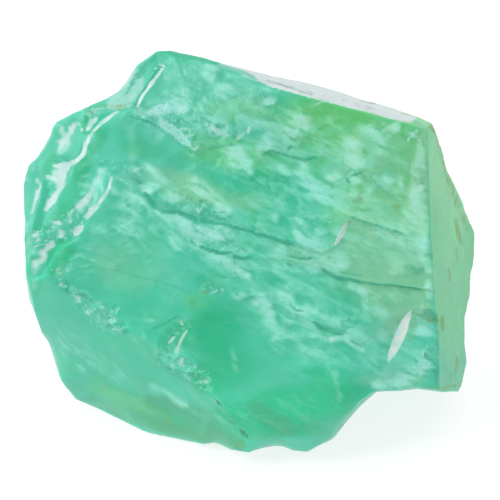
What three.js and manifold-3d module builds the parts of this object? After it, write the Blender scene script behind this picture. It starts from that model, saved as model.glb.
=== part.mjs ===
// A raw chunk of green calcite, as it comes out of the vein: three fresh cleavage faces that meet at one
// corner, a stepped and broken left shoulder, a lower edge with a bite out of it, and a rough back.
//
// The chunk is worked out in its own front view: x runs across the large cleavage face, y up it, and z out
// of it. A face is turned "facing" degrees round the front view (0 right, 90 up) and tilted "tilt" degrees
// towards the front (90 faces straight out, 0 is a side wall, -90 faces straight back).
// At the end the chunk leans back onto the flat break that it rests on. All lengths are in millimetres.

import * as THREE from "three";
import { mergeVertices } from "three/addons/utils/BufferGeometryUtils.js";
import Module from "manifold-3d";

const wasm = await Module();
wasm.setup();

const leanBack = 30; // degrees from upright to the way the chunk rests
const cleavageAngle = 74.92; // degrees between the outward normals of two cleavage faces
const cleavageTilt = 90 - cleavageAngle;
const blockHalf = 90; // half the side of the box that stands for everything beyond a face
const weldDistance = 1e-3;

const frontReach = 24; // how far the rough chunk reaches in front, before any face is cut
const backReach = 27;

// The rim, seen from the front: x, y and the depth z at which the chunk is widest there.
const rim = [
  [-12.4, 26.2, 4.5],
  [-10.5, 26.3, 5],
  [-8.8, 25.8, 5.5],
  [-4.2, 24.3, 6.5],
  [1.6, 23.1, 6.8],
  [6.5, 22.0, 6.4],
  [12.4, 20.5, 5.9],
  [15.0, 19.5, 6.9],
  [18.8, 18.3, 7.6],
  [21.6, 17.2, 8.7],
  [23.5, 16.4, 9.6],
  [24.3, 14.8, 7.8],
  [26.2, 10.6, 1.2],
  [29.8, 4.8, -11.4],
  [31.0, 2.5, -15.3],
  [31.3, -0.3, -16],
  [31.0, -3.4, -14],
  [29.5, -8.9, -10],
  [29.2, -12.2, -9.6],
  [29.4, -15.3, -10.2],
  [29.0, -17.5, -9.5],
  [28.0, -18.9, -7],
  [25.9, -19.0, -3],
  [22.2, -18.3, 0],
  [19.5, -18.7, 1],
  [16.8, -18.8, 1],
  [14.6, -20.4, 1],
  [13.4, -22.1, 1],
  [10.7, -25.0, 1],
  [7.7, -26.8, 1],
  [6.0, -26.6, 1],
  [4.0, -25.9, 1],
  [-0.3, -26.8, 1],
  [-2.7, -26.4, 0.5],
  [-4.7, -25.6, 0],
  [-6.3, -25.9, 0],
  [-10.8, -25.0, -1.8],
  [-17.9, -23.0, -5.4],
  [-20.7, -21.8, -6.8],
  [-23.5, -20.2, -7.5],
  [-24.9, -18.6, -6.5],
  [-26.2, -16.5, -5],
  [-27.0, -13.9, -1.5],
  [-28.2, -10.2, 0],
  [-29.1, -6.7, 0],
  [-29.8, -3.4, 0],
  [-30.0, 1.3, 0],
  [-30.0, 8.6, 1],
  [-29.2, 11.3, 2],
  [-28.2, 13.3, 2],
  [-26.9, 15.3, 2],
  [-25.5, 17.0, 2],
  [-23.3, 18.2, 2],
  [-20.7, 19.3, 2],
  [-19.1, 19.9, 2],
  [-17.4, 21.0, 2],
  [-16.2, 22.2, 2.5],
  [-14.9, 24.3, 3.5],
];

// How much narrower the chunk is towards the front and the back than at its rim, as shares of its width.
const rings = [
  { share: 1, reach: frontReach, width: 0.9 },
  { share: 0.4, reach: frontReach, width: 0.975 },
  { share: 0, reach: 0, width: 1 },
  { share: 0.3, reach: -backReach, width: 0.965 },
  { share: 0.62, reach: -backReach, width: 0.84 },
  { share: 1, reach: -backReach, width: 0.6 },
];

// The faces that cleavage and breaking left, each through one point of the front view.
const faces = [
  { facing: 30, tilt: 88, through: [10.3, 18.6, 14] }, // main cleavage face
  { facing: 74.6, tilt: cleavageTilt, through: [12.8, 18.25, 13.9] }, // top cleavage face
  { facing: 2.2, tilt: cleavageTilt, through: [23.2, 1.3, 14] }, // right cleavage face
  { facing: 112, tilt: 78, through: [-9, 16, 14.8] }, // knob face
  { facing: 208, tilt: 79, through: [-9, -1, 15] }, // left face
  { facing: 262, tilt: 74, through: [2, -12, 14.4] }, // lower face
  { facing: 234.7, tilt: 38, through: [-14, -12.3, 12] }, // lower left face
  { facing: 241, tilt: 23, through: [-13.8, -19, 7.6] }, // bottom left face
  { facing: 276, tilt: 35, through: [4, -25.2, 8.5] }, // bottom face
  { facing: 207, tilt: 83.5, through: [-9, -1, 14.6] }, // fold beside the left face
  { facing: 112, tilt: 83, through: [-5, 19.5, 14.1] }, // fold below the knob face
  { facing: 258, tilt: 80.5, through: [2, -10.6, 14.4] }, // fold above the lower face
  { facing: 30, tilt: -86, through: [0, 0, -22] }, // back cleavage face
  { facing: 84, tilt: -34, through: [2, 21, -6] }, // upper back face
  { facing: 138, tilt: -38, through: [-22, 16, -6] }, // upper left back face
  { facing: 186, tilt: -24, through: [-27, 0, -11] }, // left back face
  { facing: 6, tilt: -38, through: [31, 0, -16] }, // right back face
  { facing: 222, tilt: -30, through: [-22.5, -17, -14] }, // lower left back face
  { facing: 312, tilt: -26, through: [27, -17, -14] }, // lower right back face
];

// Terraces broken into the front. Each goes down to a flat floor, and its walls lean outwards by "lean"
// millimetres for each millimetre up.
const terraces = [
  // ledge on the left
  {
    floor: { facing: 190, tilt: 74, through: [-20, 8, 12.9] },
    lean: 0.9,
    outline: [
      [-17.7, 11.6], [-18.4, 10.5], [-19.7, 7.7], [-21.1, 5.1], [-22.9, 2.1], [-25.4, 0.3], [-27.9, -2.8],
      [-31.5, -2.8], [-31.5, 20.6], [-24.4, 21.2], [-15.7, 18.9], [-16.7, 14.8],
    ],
  },
  // shoulder
  {
    floor: { facing: 160, tilt: 50, through: [-22.5, 13, 10.5] },
    lean: 0.35,
    outline: [
      [-14.6, 18.6], [-17.4, 17.7], [-19.4, 16.5], [-20.9, 14.7], [-21.7, 12.9], [-23, 11.1], [-23.7, 9],
      [-24.5, 7.1], [-26.1, 4.6], [-27.3, 1.9], [-28.6, -1.5], [-32, -1.5], [-32, 21.3], [-15.7, 21.3],
    ],
  },
  // bevel of the knob
  {
    floor: { facing: 147.4, tilt: 42, through: [-12.8, 21.1, 13.5] },
    lean: 0.1,
    outline: [
      [-10.3, 29], [-10.3, 24.9], [-11.4, 22.9], [-12.4, 21.2], [-13.5, 19.5], [-14.8, 18.2], [-17, 17.7],
      [-21.2, 17.7], [-21.2, 29],
    ],
  },
  // knob step
  {
    floor: { facing: 112, tilt: 80, through: [-9, 16, 14.25] },
    lean: 0.5,
    outline: [
      [-15, 18.3], [-12.8, 16.8], [-10.5, 16], [-8.7, 14.5], [-7, 13.7], [-4.6, 15.6], [-2.3, 15], [0, 15.6],
      [1.5, 17.9], [2.8, 20.2], [2.3, 26.9], [-17.9, 28.2], [-18.6, 21.1],
    ],
  },
  // first step down the main face
  {
    floor: { facing: 30, tilt: 88, through: [10.3, 18.6, 13.5] },
    lean: 0.5,
    outline: [
      [-20.5, 9.5], [-18.6, 10], [-14.1, 9.5], [-11.1, 6.1], [-9, 5.1], [-4.5, 4.4], [-1.3, 3.3], [5.1, 1],
      [9, -0.5], [10.9, 0.5], [12.4, 3.8], [16, 3.1], [19.2, 2], [22.4, -0.3], [29.6, -0.8], [29.6, -29.5],
      [-20.5, -29.5],
    ],
  },
  // second step down the main face
  {
    floor: { facing: 19.4, tilt: 87, through: [10, -3, 13.45] },
    lean: 0.5,
    outline: [
      [-8.3, 1.5], [-4.5, -0.1], [-1.3, -0.9], [3.8, -1], [8.7, -2.3], [12.2, -3.6], [17.3, -4.5],
      [21.8, -5.1], [29.6, -5.5], [29.6, -29.5], [-12.8, -29.5], [-11.5, -6.4],
    ],
  },
  // third step down the main face
  {
    floor: { facing: 15, tilt: 86, through: [12, -12, 13] },
    lean: 0.5,
    outline: [
      [-1.3, -5.4], [1.9, -6.2], [4.2, -7.4], [6.4, -8.5], [9, -9.7], [12.2, -10.5], [14.4, -12.2],
      [17.3, -13.1], [29.6, -13.6], [29.6, -29.5], [-6.4, -29.5], [-5.1, -10.3],
    ],
  },
];

// Shell-shaped scoops: half-length and half-width at the surface, how the length is turned, and the depth.
const scoopCap = 0.35; // share of the ellipsoid's radius that dips below the surface
const scoops = [
  // scoops on the shoulder
  { facing: 152, tilt: 46, through: [-24.4, 14.6, 9.1], size: [3.6, 2.6], turn: 64, depth: 1.0 },
  { facing: 120, tilt: 52, through: [-20.8, 17, 10.7], size: [2.6, 1.7], turn: 30, depth: 0.7 },
  { facing: 165, tilt: 54, through: [-24.6, 10, 9.9], size: [3.2, 1.9], turn: 66, depth: 0.8 },
  { facing: 175, tilt: 30, through: [-28.2, 8.4, 7], size: [4.4, 2.2], turn: 80, depth: 0.8 },
  { facing: 190, tilt: 62, through: [-26.4, 0, 10.9], size: [3.4, 1.5], turn: 62, depth: 0.7 },
  // shell on the foot
  { facing: 20, tilt: 84, through: [20.6, -12.9, 12.1], size: [4.6, 3.6], turn: 50, depth: 0.5 },
  // long chip
  { facing: 20, tilt: 86, through: [19.2, -11.1, 12.1], size: [3.5, 0.6], turn: 63, depth: 0.5 },
  // pits along the edge above the lower left face
  { facing: 225, tilt: 58, through: [-20.8, -6.6, 12.3], size: [1.6, 0.7], turn: -30, depth: 0.4 },
  { facing: 225, tilt: 62, through: [-18.2, -8.9, 12.4], size: [2.3, 0.8], turn: -44, depth: 0.45 },
  { facing: 220, tilt: 66, through: [-16.9, -9.9, 12.6], size: [1.2, 0.7], turn: 40, depth: 0.4 },
  { facing: 240, tilt: 64, through: [-9.4, -11.6, 13.5], size: [2.1, 0.8], turn: 62, depth: 0.4 },
  { facing: 235, tilt: 58, through: [-8.2, -14.6, 13.1], size: [1.6, 1.0], turn: 20, depth: 0.4 },
  { facing: 235, tilt: 58, through: [-6.3, -16.8, 12.2], size: [1.6, 0.8], turn: -35, depth: 0.4 },
  // breaks on the back
  { facing: 150, tilt: -50, through: [-19, 14, -12], size: [15, 11], turn: 20, depth: 2.4 },
  { facing: 205, tilt: -28, through: [-26, -9, -13], size: [12, 9], turn: 60, depth: 1.8 },
  { facing: 60, tilt: -45, through: [13, 15, -14], size: [15, 9], turn: 100, depth: 2.2 },
];

// Blocks that came away along the three cleavages at the back: the corner left behind, and how far the
// block ran along the crystal's edges (right, up, out).
const lostBlocks = [
  { corner: [6, -2, -18.5], runs: [60, 22, -40] },
  { corner: [13, -30, -14.5], runs: [60, 28, -40] },
  { corner: [-14, 5, -19.6], runs: [-60, 30, -40] },
  { corner: [-6, -16, -20.3], runs: [15, 9, -40] },
];

const longestEdge = 5; // no triangle side is longer once the stone is refined
const waves = [
  { along: [0.42, 0.18, 0.11], phase: 0.6 },
  { along: [-0.17, 0.53, 0.21], phase: 2.1 },
  { along: [0.33, -0.46, 0.4], phase: 4.4 },
  { along: [0.86, 0.55, -0.32], phase: 1.3 },
  { along: [-0.62, 0.94, 0.48], phase: 5.2 },
];
const evenAtFront = 0.08; // how far the unevenness moves the surface at the fresh front
const unevenAtBack = 0.55;
const evenFrom = 12; // the depth in front of which the stone is even, and the one behind which it is rough
const unevenFrom = -4;

const degrees = THREE.MathUtils.degToRad;

// The outward direction of a face that faces and tilts by these angles.
function normalOf({ facing, tilt }) {
  const level = Math.cos(degrees(tilt));
  return new THREE.Vector3(
    level * Math.cos(degrees(facing)),
    level * Math.sin(degrees(facing)),
    Math.sin(degrees(tilt)),
  );
}

function turnTo(outward) {
  return new THREE.Quaternion().setFromUnitVectors(new THREE.Vector3(0, 0, 1), outward);
}

// A closed three.js geometry as a solid that can be cut and joined.
function solidOf(geometry) {
  const bare = geometry.index ? geometry.toNonIndexed() : geometry.clone();
  bare.deleteAttribute("normal");
  bare.deleteAttribute("uv");
  const merged = mergeVertices(bare, weldDistance);
  return new wasm.Manifold(
    new wasm.Mesh({
      numProp: 3,
      vertProperties: new Float32Array(merged.attributes.position.array),
      triVerts: new Uint32Array(merged.index.array),
    }),
  );
}

// The corners and triangles of a solid.
function meshOf(solid) {
  const made = solid.getMesh();
  const corners = [];
  for (let i = 0; i < made.numVert; i++) {
    const at = i * made.numProp;
    corners.push(new THREE.Vector3(...made.vertProperties.subarray(at, at + 3)));
  }
  const triangles = [];
  for (let at = 0; at < made.triVerts.length; at += 3) {
    triangles.push([...made.triVerts.subarray(at, at + 3)]);
  }
  return { corners, triangles };
}

function geometryOf({ corners, triangles }) {
  const geometry = new THREE.BufferGeometry().setFromPoints(corners);
  geometry.setIndex(triangles.flat());
  return geometry;
}

// Takes away everything beyond a face.
function cutFace(stone, face) {
  const beyond = new THREE.BoxGeometry(2 * blockHalf, 2 * blockHalf, 2 * blockHalf);
  beyond.translate(0, 0, blockHalf);
  beyond.applyQuaternion(turnTo(normalOf(face)));
  beyond.translate(...face.through);
  return stone.subtract(solidOf(beyond));
}

// Takes away what stands above a floor inside an outline.
function cutTerrace(stone, { floor, lean, outline }) {
  const outward = normalOf(floor);
  const through = new THREE.Vector3(...floor.through);
  const points = outline.map(([x, y]) => new THREE.Vector2(x, y));
  if (THREE.ShapeUtils.isClockWise(points)) points.reverse();
  const sum = points.reduce((total, point) => total.add(point), new THREE.Vector2());
  const middle = sum.divideScalar(points.length);
  const low = points.map(({ x, y }) => {
    const z = through.z - (outward.x * (x - through.x) + outward.y * (y - through.y)) / outward.z;
    return new THREE.Vector3(x, y, z);
  });
  const high = low.map(({ x, y, z }) => {
    const away = new THREE.Vector2(x, y).sub(middle).normalize().multiplyScalar(lean * (frontReach - z));
    return new THREE.Vector3(x + away.x, y + away.y, frontReach + 1);
  });
  const count = points.length;
  const triangles = [];
  for (const [a, b, c] of THREE.ShapeUtils.triangulateShape(points, [])) {
    triangles.push([a, c, b], [a + count, b + count, c + count]);
  }
  for (let i = 0; i < count; i++) {
    const next = (i + 1) % count;
    triangles.push([i, next, next + count], [i, next + count, i + count]);
  }
  return stone.subtract(solidOf(geometryOf({ corners: [...low, ...high], triangles })));
}

// Takes a shallow shell out of the surface: the low cap of an ellipsoid that stands mostly clear of it.
function cutScoop(stone, scoop) {
  const [halfLength, halfWidth] = scoop.size;
  const capRadius = Math.sqrt(2 * scoopCap - scoopCap ** 2);
  const height = scoop.depth / scoopCap;
  const shell = new THREE.SphereGeometry(1, 12, 12);
  shell.rotateX(degrees(90));
  shell.scale(halfLength / capRadius, halfWidth / capRadius, height);
  shell.rotateZ(degrees(scoop.turn));
  shell.translate(0, 0, height * (1 - scoopCap));
  shell.applyQuaternion(turnTo(normalOf(scoop)));
  shell.translate(...scoop.through);
  return stone.subtract(solidOf(shell));
}

// Takes a block off along the three cleavages.
function cutLostBlock(stone, { corner, runs }) {
  const [out, up, right] = faces.slice(0, 3).map(normalOf); // the cleavage faces head the list
  const edges = [
    new THREE.Vector3().crossVectors(up, out).normalize(),
    new THREE.Vector3().crossVectors(out, right).normalize(),
    new THREE.Vector3().crossVectors(right, up).normalize(),
  ];
  const block = new THREE.BoxGeometry(...runs.map(Math.abs));
  block.translate(...runs.map((run) => run / 2));
  block.applyMatrix4(new THREE.Matrix4().makeBasis(...edges));
  block.translate(...corner);
  return stone.subtract(solidOf(block));
}

// The rough chunk: rings of the rim's outline, drawn in towards the front and the back, closed at both ends.
function roughChunk() {
  const across = rim.length;
  const corners = [];
  for (const { share, reach, width } of rings) {
    for (const [x, y, z] of rim) {
      corners.push(new THREE.Vector3(x * width, y * width, z + share * (reach - z)));
    }
  }
  const triangles = [];
  for (let ring = 0; ring + 1 < rings.length; ring++) {
    for (let i = 0; i < across; i++) {
      const next = (i + 1) % across;
      const [a, b] = [ring * across + i, ring * across + next];
      triangles.push([a, b, b + across], [a, b + across, a + across]);
    }
  }
  const [front, back] = [corners.length, corners.length + 1];
  corners.push(new THREE.Vector3(0, 0, frontReach), new THREE.Vector3(0, 0, -backReach));
  const lastRing = (rings.length - 1) * across;
  for (let i = 0; i < across; i++) {
    const next = (i + 1) % across;
    triangles.push([front, next, i], [back, lastRing + i, lastRing + next]);
  }
  return solidOf(geometryOf({ corners, triangles }));
}

// Splits the longest side of every triangle that has a side too long, at its middle, until none is left.
// Neighbours share the new corner.
function refine({ corners, triangles }) {
  const grown = [...corners];
  const keyOf = (a, b) => Math.min(a, b) + "_" + Math.max(a, b);
  let current = triangles;
  for (;;) {
    const middles = new Map();
    for (const corner of current) {
      const sides = corner.map((a, i) => [a, corner[(i + 1) % 3]]);
      const lengths = sides.map(([a, b]) => grown[a].distanceTo(grown[b]));
      const most = Math.max(...lengths);
      if (most <= longestEdge) continue;
      const [a, b] = sides[lengths.indexOf(most)];
      if (middles.has(keyOf(a, b))) continue;
      middles.set(keyOf(a, b), grown.length);
      grown.push(grown[a].clone().lerp(grown[b], 0.5));
    }
    if (middles.size === 0) return { corners: grown, triangles: current };
    const next = [];
    for (const [a, b, c] of current) {
      const [ab, bc, ca] = [keyOf(a, b), keyOf(b, c), keyOf(c, a)].map((key) => middles.get(key));
      if (ab && bc && ca) next.push([a, ab, ca], [ab, b, bc], [ca, bc, c], [ab, bc, ca]);
      else if (ab && bc) next.push([ab, b, bc], [a, ab, bc], [a, bc, c]);
      else if (bc && ca) next.push([bc, c, ca], [b, bc, ca], [b, ca, a]);
      else if (ca && ab) next.push([ca, a, ab], [c, ca, ab], [c, ab, b]);
      else if (ab) next.push([a, ab, c], [ab, b, c]);
      else if (bc) next.push([b, bc, a], [bc, c, a]);
      else if (ca) next.push([c, ca, b], [ca, a, b]);
      else next.push([a, b, c]);
    }
    current = next;
  }
}

// A smooth unevenness between about -1 and 1: waves of different directions and lengths, added together.
function unevenness(point, shift) {
  let sum = 0;
  for (const { along, phase } of waves) {
    sum += Math.sin(along[0] * point.x + along[1] * point.y + along[2] * point.z + phase + shift);
  }
  return sum / waves.length;
}

// Moves the surface a little in every direction, more at the broken back than on the fresh front.
function roughen({ corners, triangles }) {
  const moved = corners.map((point) => {
    const rough = 1 - THREE.MathUtils.smoothstep(point.z, unevenFrom, evenFrom);
    const most = THREE.MathUtils.lerp(evenAtFront, unevenAtBack, rough);
    const shift = [0, 2, 4].map((turn) => most * unevenness(point, turn));
    return point.clone().add(new THREE.Vector3(...shift));
  });
  return { corners: moved, triangles };
}

const restingFace = { facing: 270, tilt: -leanBack, through: [0, -26.2, 0] };

let stone = roughChunk();
for (const face of faces) stone = cutFace(stone, face);
for (const terrace of terraces) stone = cutTerrace(stone, terrace);
for (const scoop of scoops) stone = cutScoop(stone, scoop);
for (const block of lostBlocks) stone = cutLostBlock(stone, block);
stone = solidOf(geometryOf(roughen(refine(meshOf(stone)))));
stone = cutFace(stone, restingFace);

const chunkGeometry = geometryOf(meshOf(stone));
chunkGeometry.rotateX(degrees(90 - leanBack));
chunkGeometry.computeBoundingBox();
const box = chunkGeometry.boundingBox;
const centre = box.getCenter(new THREE.Vector3());
chunkGeometry.translate(-centre.x, -centre.y, -box.min.z);

const calcite = new THREE.MeshStandardMaterial({ color: 0x4fc49a, roughness: 0.28, metalness: 0 });
const chunk = new THREE.Mesh(chunkGeometry, calcite);
chunk.name = "raw_calcite";

const root = new THREE.Group();
root.add(chunk);

export default root;
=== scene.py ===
import math
import time

import bpy
import numpy as np
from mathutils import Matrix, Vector


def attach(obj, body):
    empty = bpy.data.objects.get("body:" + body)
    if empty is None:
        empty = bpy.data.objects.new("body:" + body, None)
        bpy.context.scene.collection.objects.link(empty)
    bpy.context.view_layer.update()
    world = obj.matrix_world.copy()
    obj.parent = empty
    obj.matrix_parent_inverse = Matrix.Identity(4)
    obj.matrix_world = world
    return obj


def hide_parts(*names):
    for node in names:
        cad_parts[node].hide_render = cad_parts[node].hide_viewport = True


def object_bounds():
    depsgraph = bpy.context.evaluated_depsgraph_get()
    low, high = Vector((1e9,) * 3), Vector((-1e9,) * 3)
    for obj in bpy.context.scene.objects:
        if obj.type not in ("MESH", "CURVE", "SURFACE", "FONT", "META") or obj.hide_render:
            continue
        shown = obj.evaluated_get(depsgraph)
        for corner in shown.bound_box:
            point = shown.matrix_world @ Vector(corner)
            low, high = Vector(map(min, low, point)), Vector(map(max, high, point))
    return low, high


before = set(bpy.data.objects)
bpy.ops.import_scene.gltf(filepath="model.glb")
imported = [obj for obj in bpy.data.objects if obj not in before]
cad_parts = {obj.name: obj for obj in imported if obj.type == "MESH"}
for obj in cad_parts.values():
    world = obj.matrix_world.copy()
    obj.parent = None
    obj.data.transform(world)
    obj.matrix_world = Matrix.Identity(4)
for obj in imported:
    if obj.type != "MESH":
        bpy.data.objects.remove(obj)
cadLow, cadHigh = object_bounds()
started = time.perf_counter()

# The chunk is described in its own front view, in millimetres: x across the large cleavage face, y up it,
# z out of it. Marks and relief are placed on a sheet of 500 by 500 steps held up to that view.
view = {
    "leanBack": 30,                       # how far the view leans back, in degrees
    "origin": (-0.642, -1.743, 22.690),   # its origin in the part's frame
    "distance": 370,                      # from the camera to the view's origin
    "sheetScale": 60 / 450,               # millimetres for one step of the sheet
    "sheetMiddle": 250,
}


def fromView(p):
    # a point of the front view, carried to the part's frame and to metres
    lean = math.radians(view["leanBack"])
    x, y, z = p[..., 0], p[..., 1], p[..., 2]
    back = y * math.sin(lean) - z * math.cos(lean)
    up = y * math.cos(lean) + z * math.sin(lean)
    return (np.stack([x, back, up], -1) + np.array(view["origin"])) / 1000


def toView(p):
    # the other way: metres in the part's frame to millimetres in the front view
    lean = math.radians(view["leanBack"])
    q = p * 1000 - np.array(view["origin"])
    x, y, z = q[..., 0], q[..., 1], q[..., 2]
    up = y * math.sin(lean) + z * math.cos(lean)
    out = z * math.sin(lean) - y * math.cos(lean)
    return np.stack([x, up, out], -1)


def sheetOf(p):
    # where a point of the front view falls on the sheet, across and down: what is nearer is drawn larger
    near = view["sheetScale"] * (1 - p[..., 2] / view["distance"])
    return np.stack([view["sheetMiddle"] + p[..., 0] / near, view["sheetMiddle"] - p[..., 1] / near], -1)


stone = {
    "middle": (0, -0.5, -4),     # the point that the grid's rays run to, in the front view
    "halfBox": (26.5, 24, 18),   # half sides of the box that carries the grid
    "frontSteps": (236, 206),
    "fineRows": 32,
    "coarseRows": 14,
    "fineTo": -4,                # how far back the fine rows reach
    "castFrom": 75,              # radius of the sphere that the points start from
    "evenings": 2,
    "restingBelow": 2e-5,        # what the cast leaves this low, in metres, is the patch it rests on
    "evenIn": 0.5,               # share of the way to the neighbours' mean, and back out again
    "evenOut": 0.52,
}


def perimeter(nx, ny):
    # indices of the edge of a grid of nx by ny cells, once round it, counter-clockwise
    row = nx + 1
    return np.concatenate([
        np.arange(nx),
        np.arange(ny) * row + nx,
        ny * row + np.arange(nx, 0, -1),
        np.arange(ny, 0, -1) * row,
    ])


def boxGrid():
    # Two flat grids and the belt between them: a front grid, rows that run back from its edge round the box,
    # one row where every second line ends, coarser rows, and a coarser back grid.
    a, b, c = stone["halfBox"]
    nx, ny = stone["frontSteps"]
    x, y = np.meshgrid(np.linspace(-a, a, nx + 1), np.linspace(-b, b, ny + 1))
    front = np.stack([x, y, np.full_like(x, c)], -1).reshape(-1, 3)
    index = np.arange(len(front)).reshape(ny + 1, nx + 1)
    points = [front]
    quads = [np.stack([index[:-1, :-1], index[:-1, 1:], index[1:, 1:], index[1:, :-1]], -1).reshape(-1, 4)]
    triangles = []
    ring = perimeter(nx, ny)
    rim = front[ring, :2]
    count = len(front)
    depths = np.linspace(c, stone["fineTo"], stone["fineRows"] + 1)[1:]
    for depth in depths:
        nextRing = count + np.arange(len(rim))
        points.append(np.column_stack([rim, np.full(len(rim), depth)]))
        quads.append(np.stack([ring, nextRing, np.roll(nextRing, -1), np.roll(ring, -1)], -1))
        ring = nextRing
        count += len(rim)
    rim = rim[::2]
    depths = np.linspace(stone["fineTo"], -c, stone["coarseRows"] + 1)[1:]
    for step, depth in enumerate(depths):
        last = step == len(depths) - 1
        if last:
            x, y = np.meshgrid(np.linspace(-a, a, nx // 2 + 1), np.linspace(-b, b, ny // 2 + 1))
            back = np.stack([x, y, np.full_like(x, -c)], -1).reshape(-1, 3)
            nextRing = count + perimeter(nx // 2, ny // 2)
            points.append(back)
        else:
            nextRing = count + np.arange(len(rim))
            points.append(np.column_stack([rim, np.full(len(rim), depth)]))
        if step == 0:
            first, middle, third = ring[::2], ring[1::2], np.roll(ring[::2], -1)
            following = np.roll(nextRing, -1)
            triangles.append(np.stack([first, nextRing, middle], -1))
            triangles.append(np.stack([middle, nextRing, following], -1))
            triangles.append(np.stack([middle, following, third], -1))
        else:
            quads.append(np.stack([ring, nextRing, np.roll(nextRing, -1), np.roll(ring, -1)], -1))
        ring = nextRing
        if last:
            index = count + np.arange(len(back)).reshape(ny // 2 + 1, nx // 2 + 1)
            quads.append(
                np.stack([index[:-1, :-1], index[1:, :-1], index[1:, 1:], index[:-1, 1:]], -1).reshape(-1, 4))
            count += len(back)
        else:
            count += len(rim)
    return np.concatenate(points), np.concatenate(quads), np.concatenate(triangles)


def meshFrom(name, points, quads, triangles):
    # a mesh straight from arrays: places, faces of four corners and faces of three
    mesh = bpy.data.meshes.new(name)
    corners = np.concatenate([quads.ravel(), triangles.ravel()]).astype(np.int32)
    sizes = np.concatenate([np.full(len(quads), 4), np.full(len(triangles), 3)]).astype(np.int32)
    starts = np.concatenate([[0], np.cumsum(sizes)[:-1]]).astype(np.int32)
    mesh.vertices.add(len(points))
    mesh.vertices.foreach_set("co", points.astype(np.float32).ravel())
    mesh.loops.add(len(corners))
    mesh.loops.foreach_set("vertex_index", corners)
    mesh.polygons.add(len(sizes))
    mesh.polygons.foreach_set("loop_start", starts)
    mesh.update(calc_edges=True)
    mesh.validate()
    return mesh


def castOnto(points, quads, triangles, target):
    # every point is set out on a sphere round the middle and runs straight in until it meets the CAD solid
    away = points / np.linalg.norm(points, axis=1, keepdims=True)
    shell = fromView(np.array(stone["middle"]) + away * stone["castFrom"])
    mesh = meshFrom("stoneCast", shell, quads, triangles)
    caster = bpy.data.objects.new("stoneCast", mesh)
    bpy.context.scene.collection.objects.link(caster)
    wrap = caster.modifiers.new("cast", "SHRINKWRAP")
    wrap.wrap_method = "PROJECT"
    wrap.use_negative_direction = True
    wrap.use_positive_direction = False
    wrap.target = target
    seen = caster.evaluated_get(bpy.context.evaluated_depsgraph_get())
    made = np.empty(len(points) * 3, dtype=np.float32)
    seen.data.vertices.foreach_get("co", made)
    bpy.data.objects.remove(caster)
    bpy.data.meshes.remove(mesh)
    return made.reshape(-1, 3).astype(float)


def edgesOf(quads, triangles):
    # each pair of neighbouring points once
    sides = [quads[:, [i, (i + 1) % 4]] for i in range(4)]
    sides += [triangles[:, [i, (i + 1) % 3]] for i in range(3)]
    return np.unique(np.sort(np.concatenate(sides), axis=1), axis=0)


def neighbourMean(values, edges):
    # for each point, the sum of its neighbours' values over how many neighbours it has
    total = np.zeros_like(values)
    many = np.bincount(edges.ravel(), minlength=len(values)).astype(float)
    for axis in range(values.shape[1]):
        total[:, axis] = (np.bincount(edges[:, 0], values[edges[:, 1], axis], len(values))
                          + np.bincount(edges[:, 1], values[edges[:, 0], axis], len(values)))
    return total / many[:, None]


def evened(p, edges, rounds):
    # each round moves every point part of the way to its neighbours' mean, and then a little further back
    for _ in range(rounds):
        p = p + stone["evenIn"] * (neighbourMean(p, edges) - p)
        p = p - stone["evenOut"] * (neighbourMean(p, edges) - p)
    return p


def normalsOf(p, quads, triangles):
    # the sum of the area vectors of the faces round a point, made one long
    ofQuads = np.cross(p[quads[:, 2]] - p[quads[:, 0]], p[quads[:, 3]] - p[quads[:, 1]])
    ofTriangles = np.cross(p[triangles[:, 1]] - p[triangles[:, 0]], p[triangles[:, 2]] - p[triangles[:, 0]])
    total = np.zeros_like(p)
    for axis in range(3):
        for corner in quads.T:
            total[:, axis] += np.bincount(corner, ofQuads[:, axis], len(p))
        for corner in triangles.T:
            total[:, axis] += np.bincount(corner, ofTriangles[:, axis], len(p))
    return total / np.linalg.norm(total, axis=1, keepdims=True)


print("stone: casting the grid onto the solid")
points, quads, triangles = boxGrid()
edges = edgesOf(quads, triangles)
cast = castOnto(points, quads, triangles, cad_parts["raw_calcite"])
shape = evened(toView(cast), edges, stone["evenings"])
print("stone:", len(shape), "points,", 2 * len(quads) + len(triangles), "triangles,",
      round(time.perf_counter() - started, 1), "s")


def smooth(low, high, x):
    # 0 up to low, 1 from high on, and the curve t * t * (3 - 2 * t) between them
    t = np.clip((x - low) / (high - low), 0, 1)
    return t * t * (3 - 2 * t)


def lattice(ix, iy, iz, seed):
    # a fixed pseudo-random number between 0 and 1 for each whole-numbered corner
    h = (ix * 374761393 + iy * 668265263 + iz * 2147483647 + seed * 1274126177) & 0xFFFFFFFF
    h = ((h ^ (h >> 13)) * 1103515245) & 0xFFFFFFFF
    h = ((h ^ (h >> 16)) * 2246822519) & 0xFFFFFFFF
    return ((h ^ (h >> 15)) & 0xFFFFFF) / 0xFFFFFF


def noise(p, size, seed=0):
    # value noise, -1 to 1: numbers at the corners of a lattice, blended smoothly between them
    q = p / np.asarray(size, dtype=float)
    base = np.floor(q).astype(np.int64)
    f = q - base
    f = f * f * (3 - 2 * f)
    total = 0
    for dx in (0, 1):
        for dy in (0, 1):
            for dz in (0, 1):
                weight = ((f[:, 0] if dx else 1 - f[:, 0]) * (f[:, 1] if dy else 1 - f[:, 1])
                          * (f[:, 2] if dz else 1 - f[:, 2]))
                total = total + weight * lattice(base[:, 0] + dx, base[:, 1] + dy, base[:, 2] + dz, seed)
    return 2 * total - 1


def layered(p, size, rounds=4, seed=0):
    # noise on noise, each half as large and half as strong, and set off from the one before
    total = 0
    size = np.asarray(size, dtype=float)
    offset = 17.3
    for step in range(rounds):
        total = total + noise(p + offset * step, size / 2 ** step, seed + step) / 2 ** step
    return total / (2 - 2 ** (1 - rounds))


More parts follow.
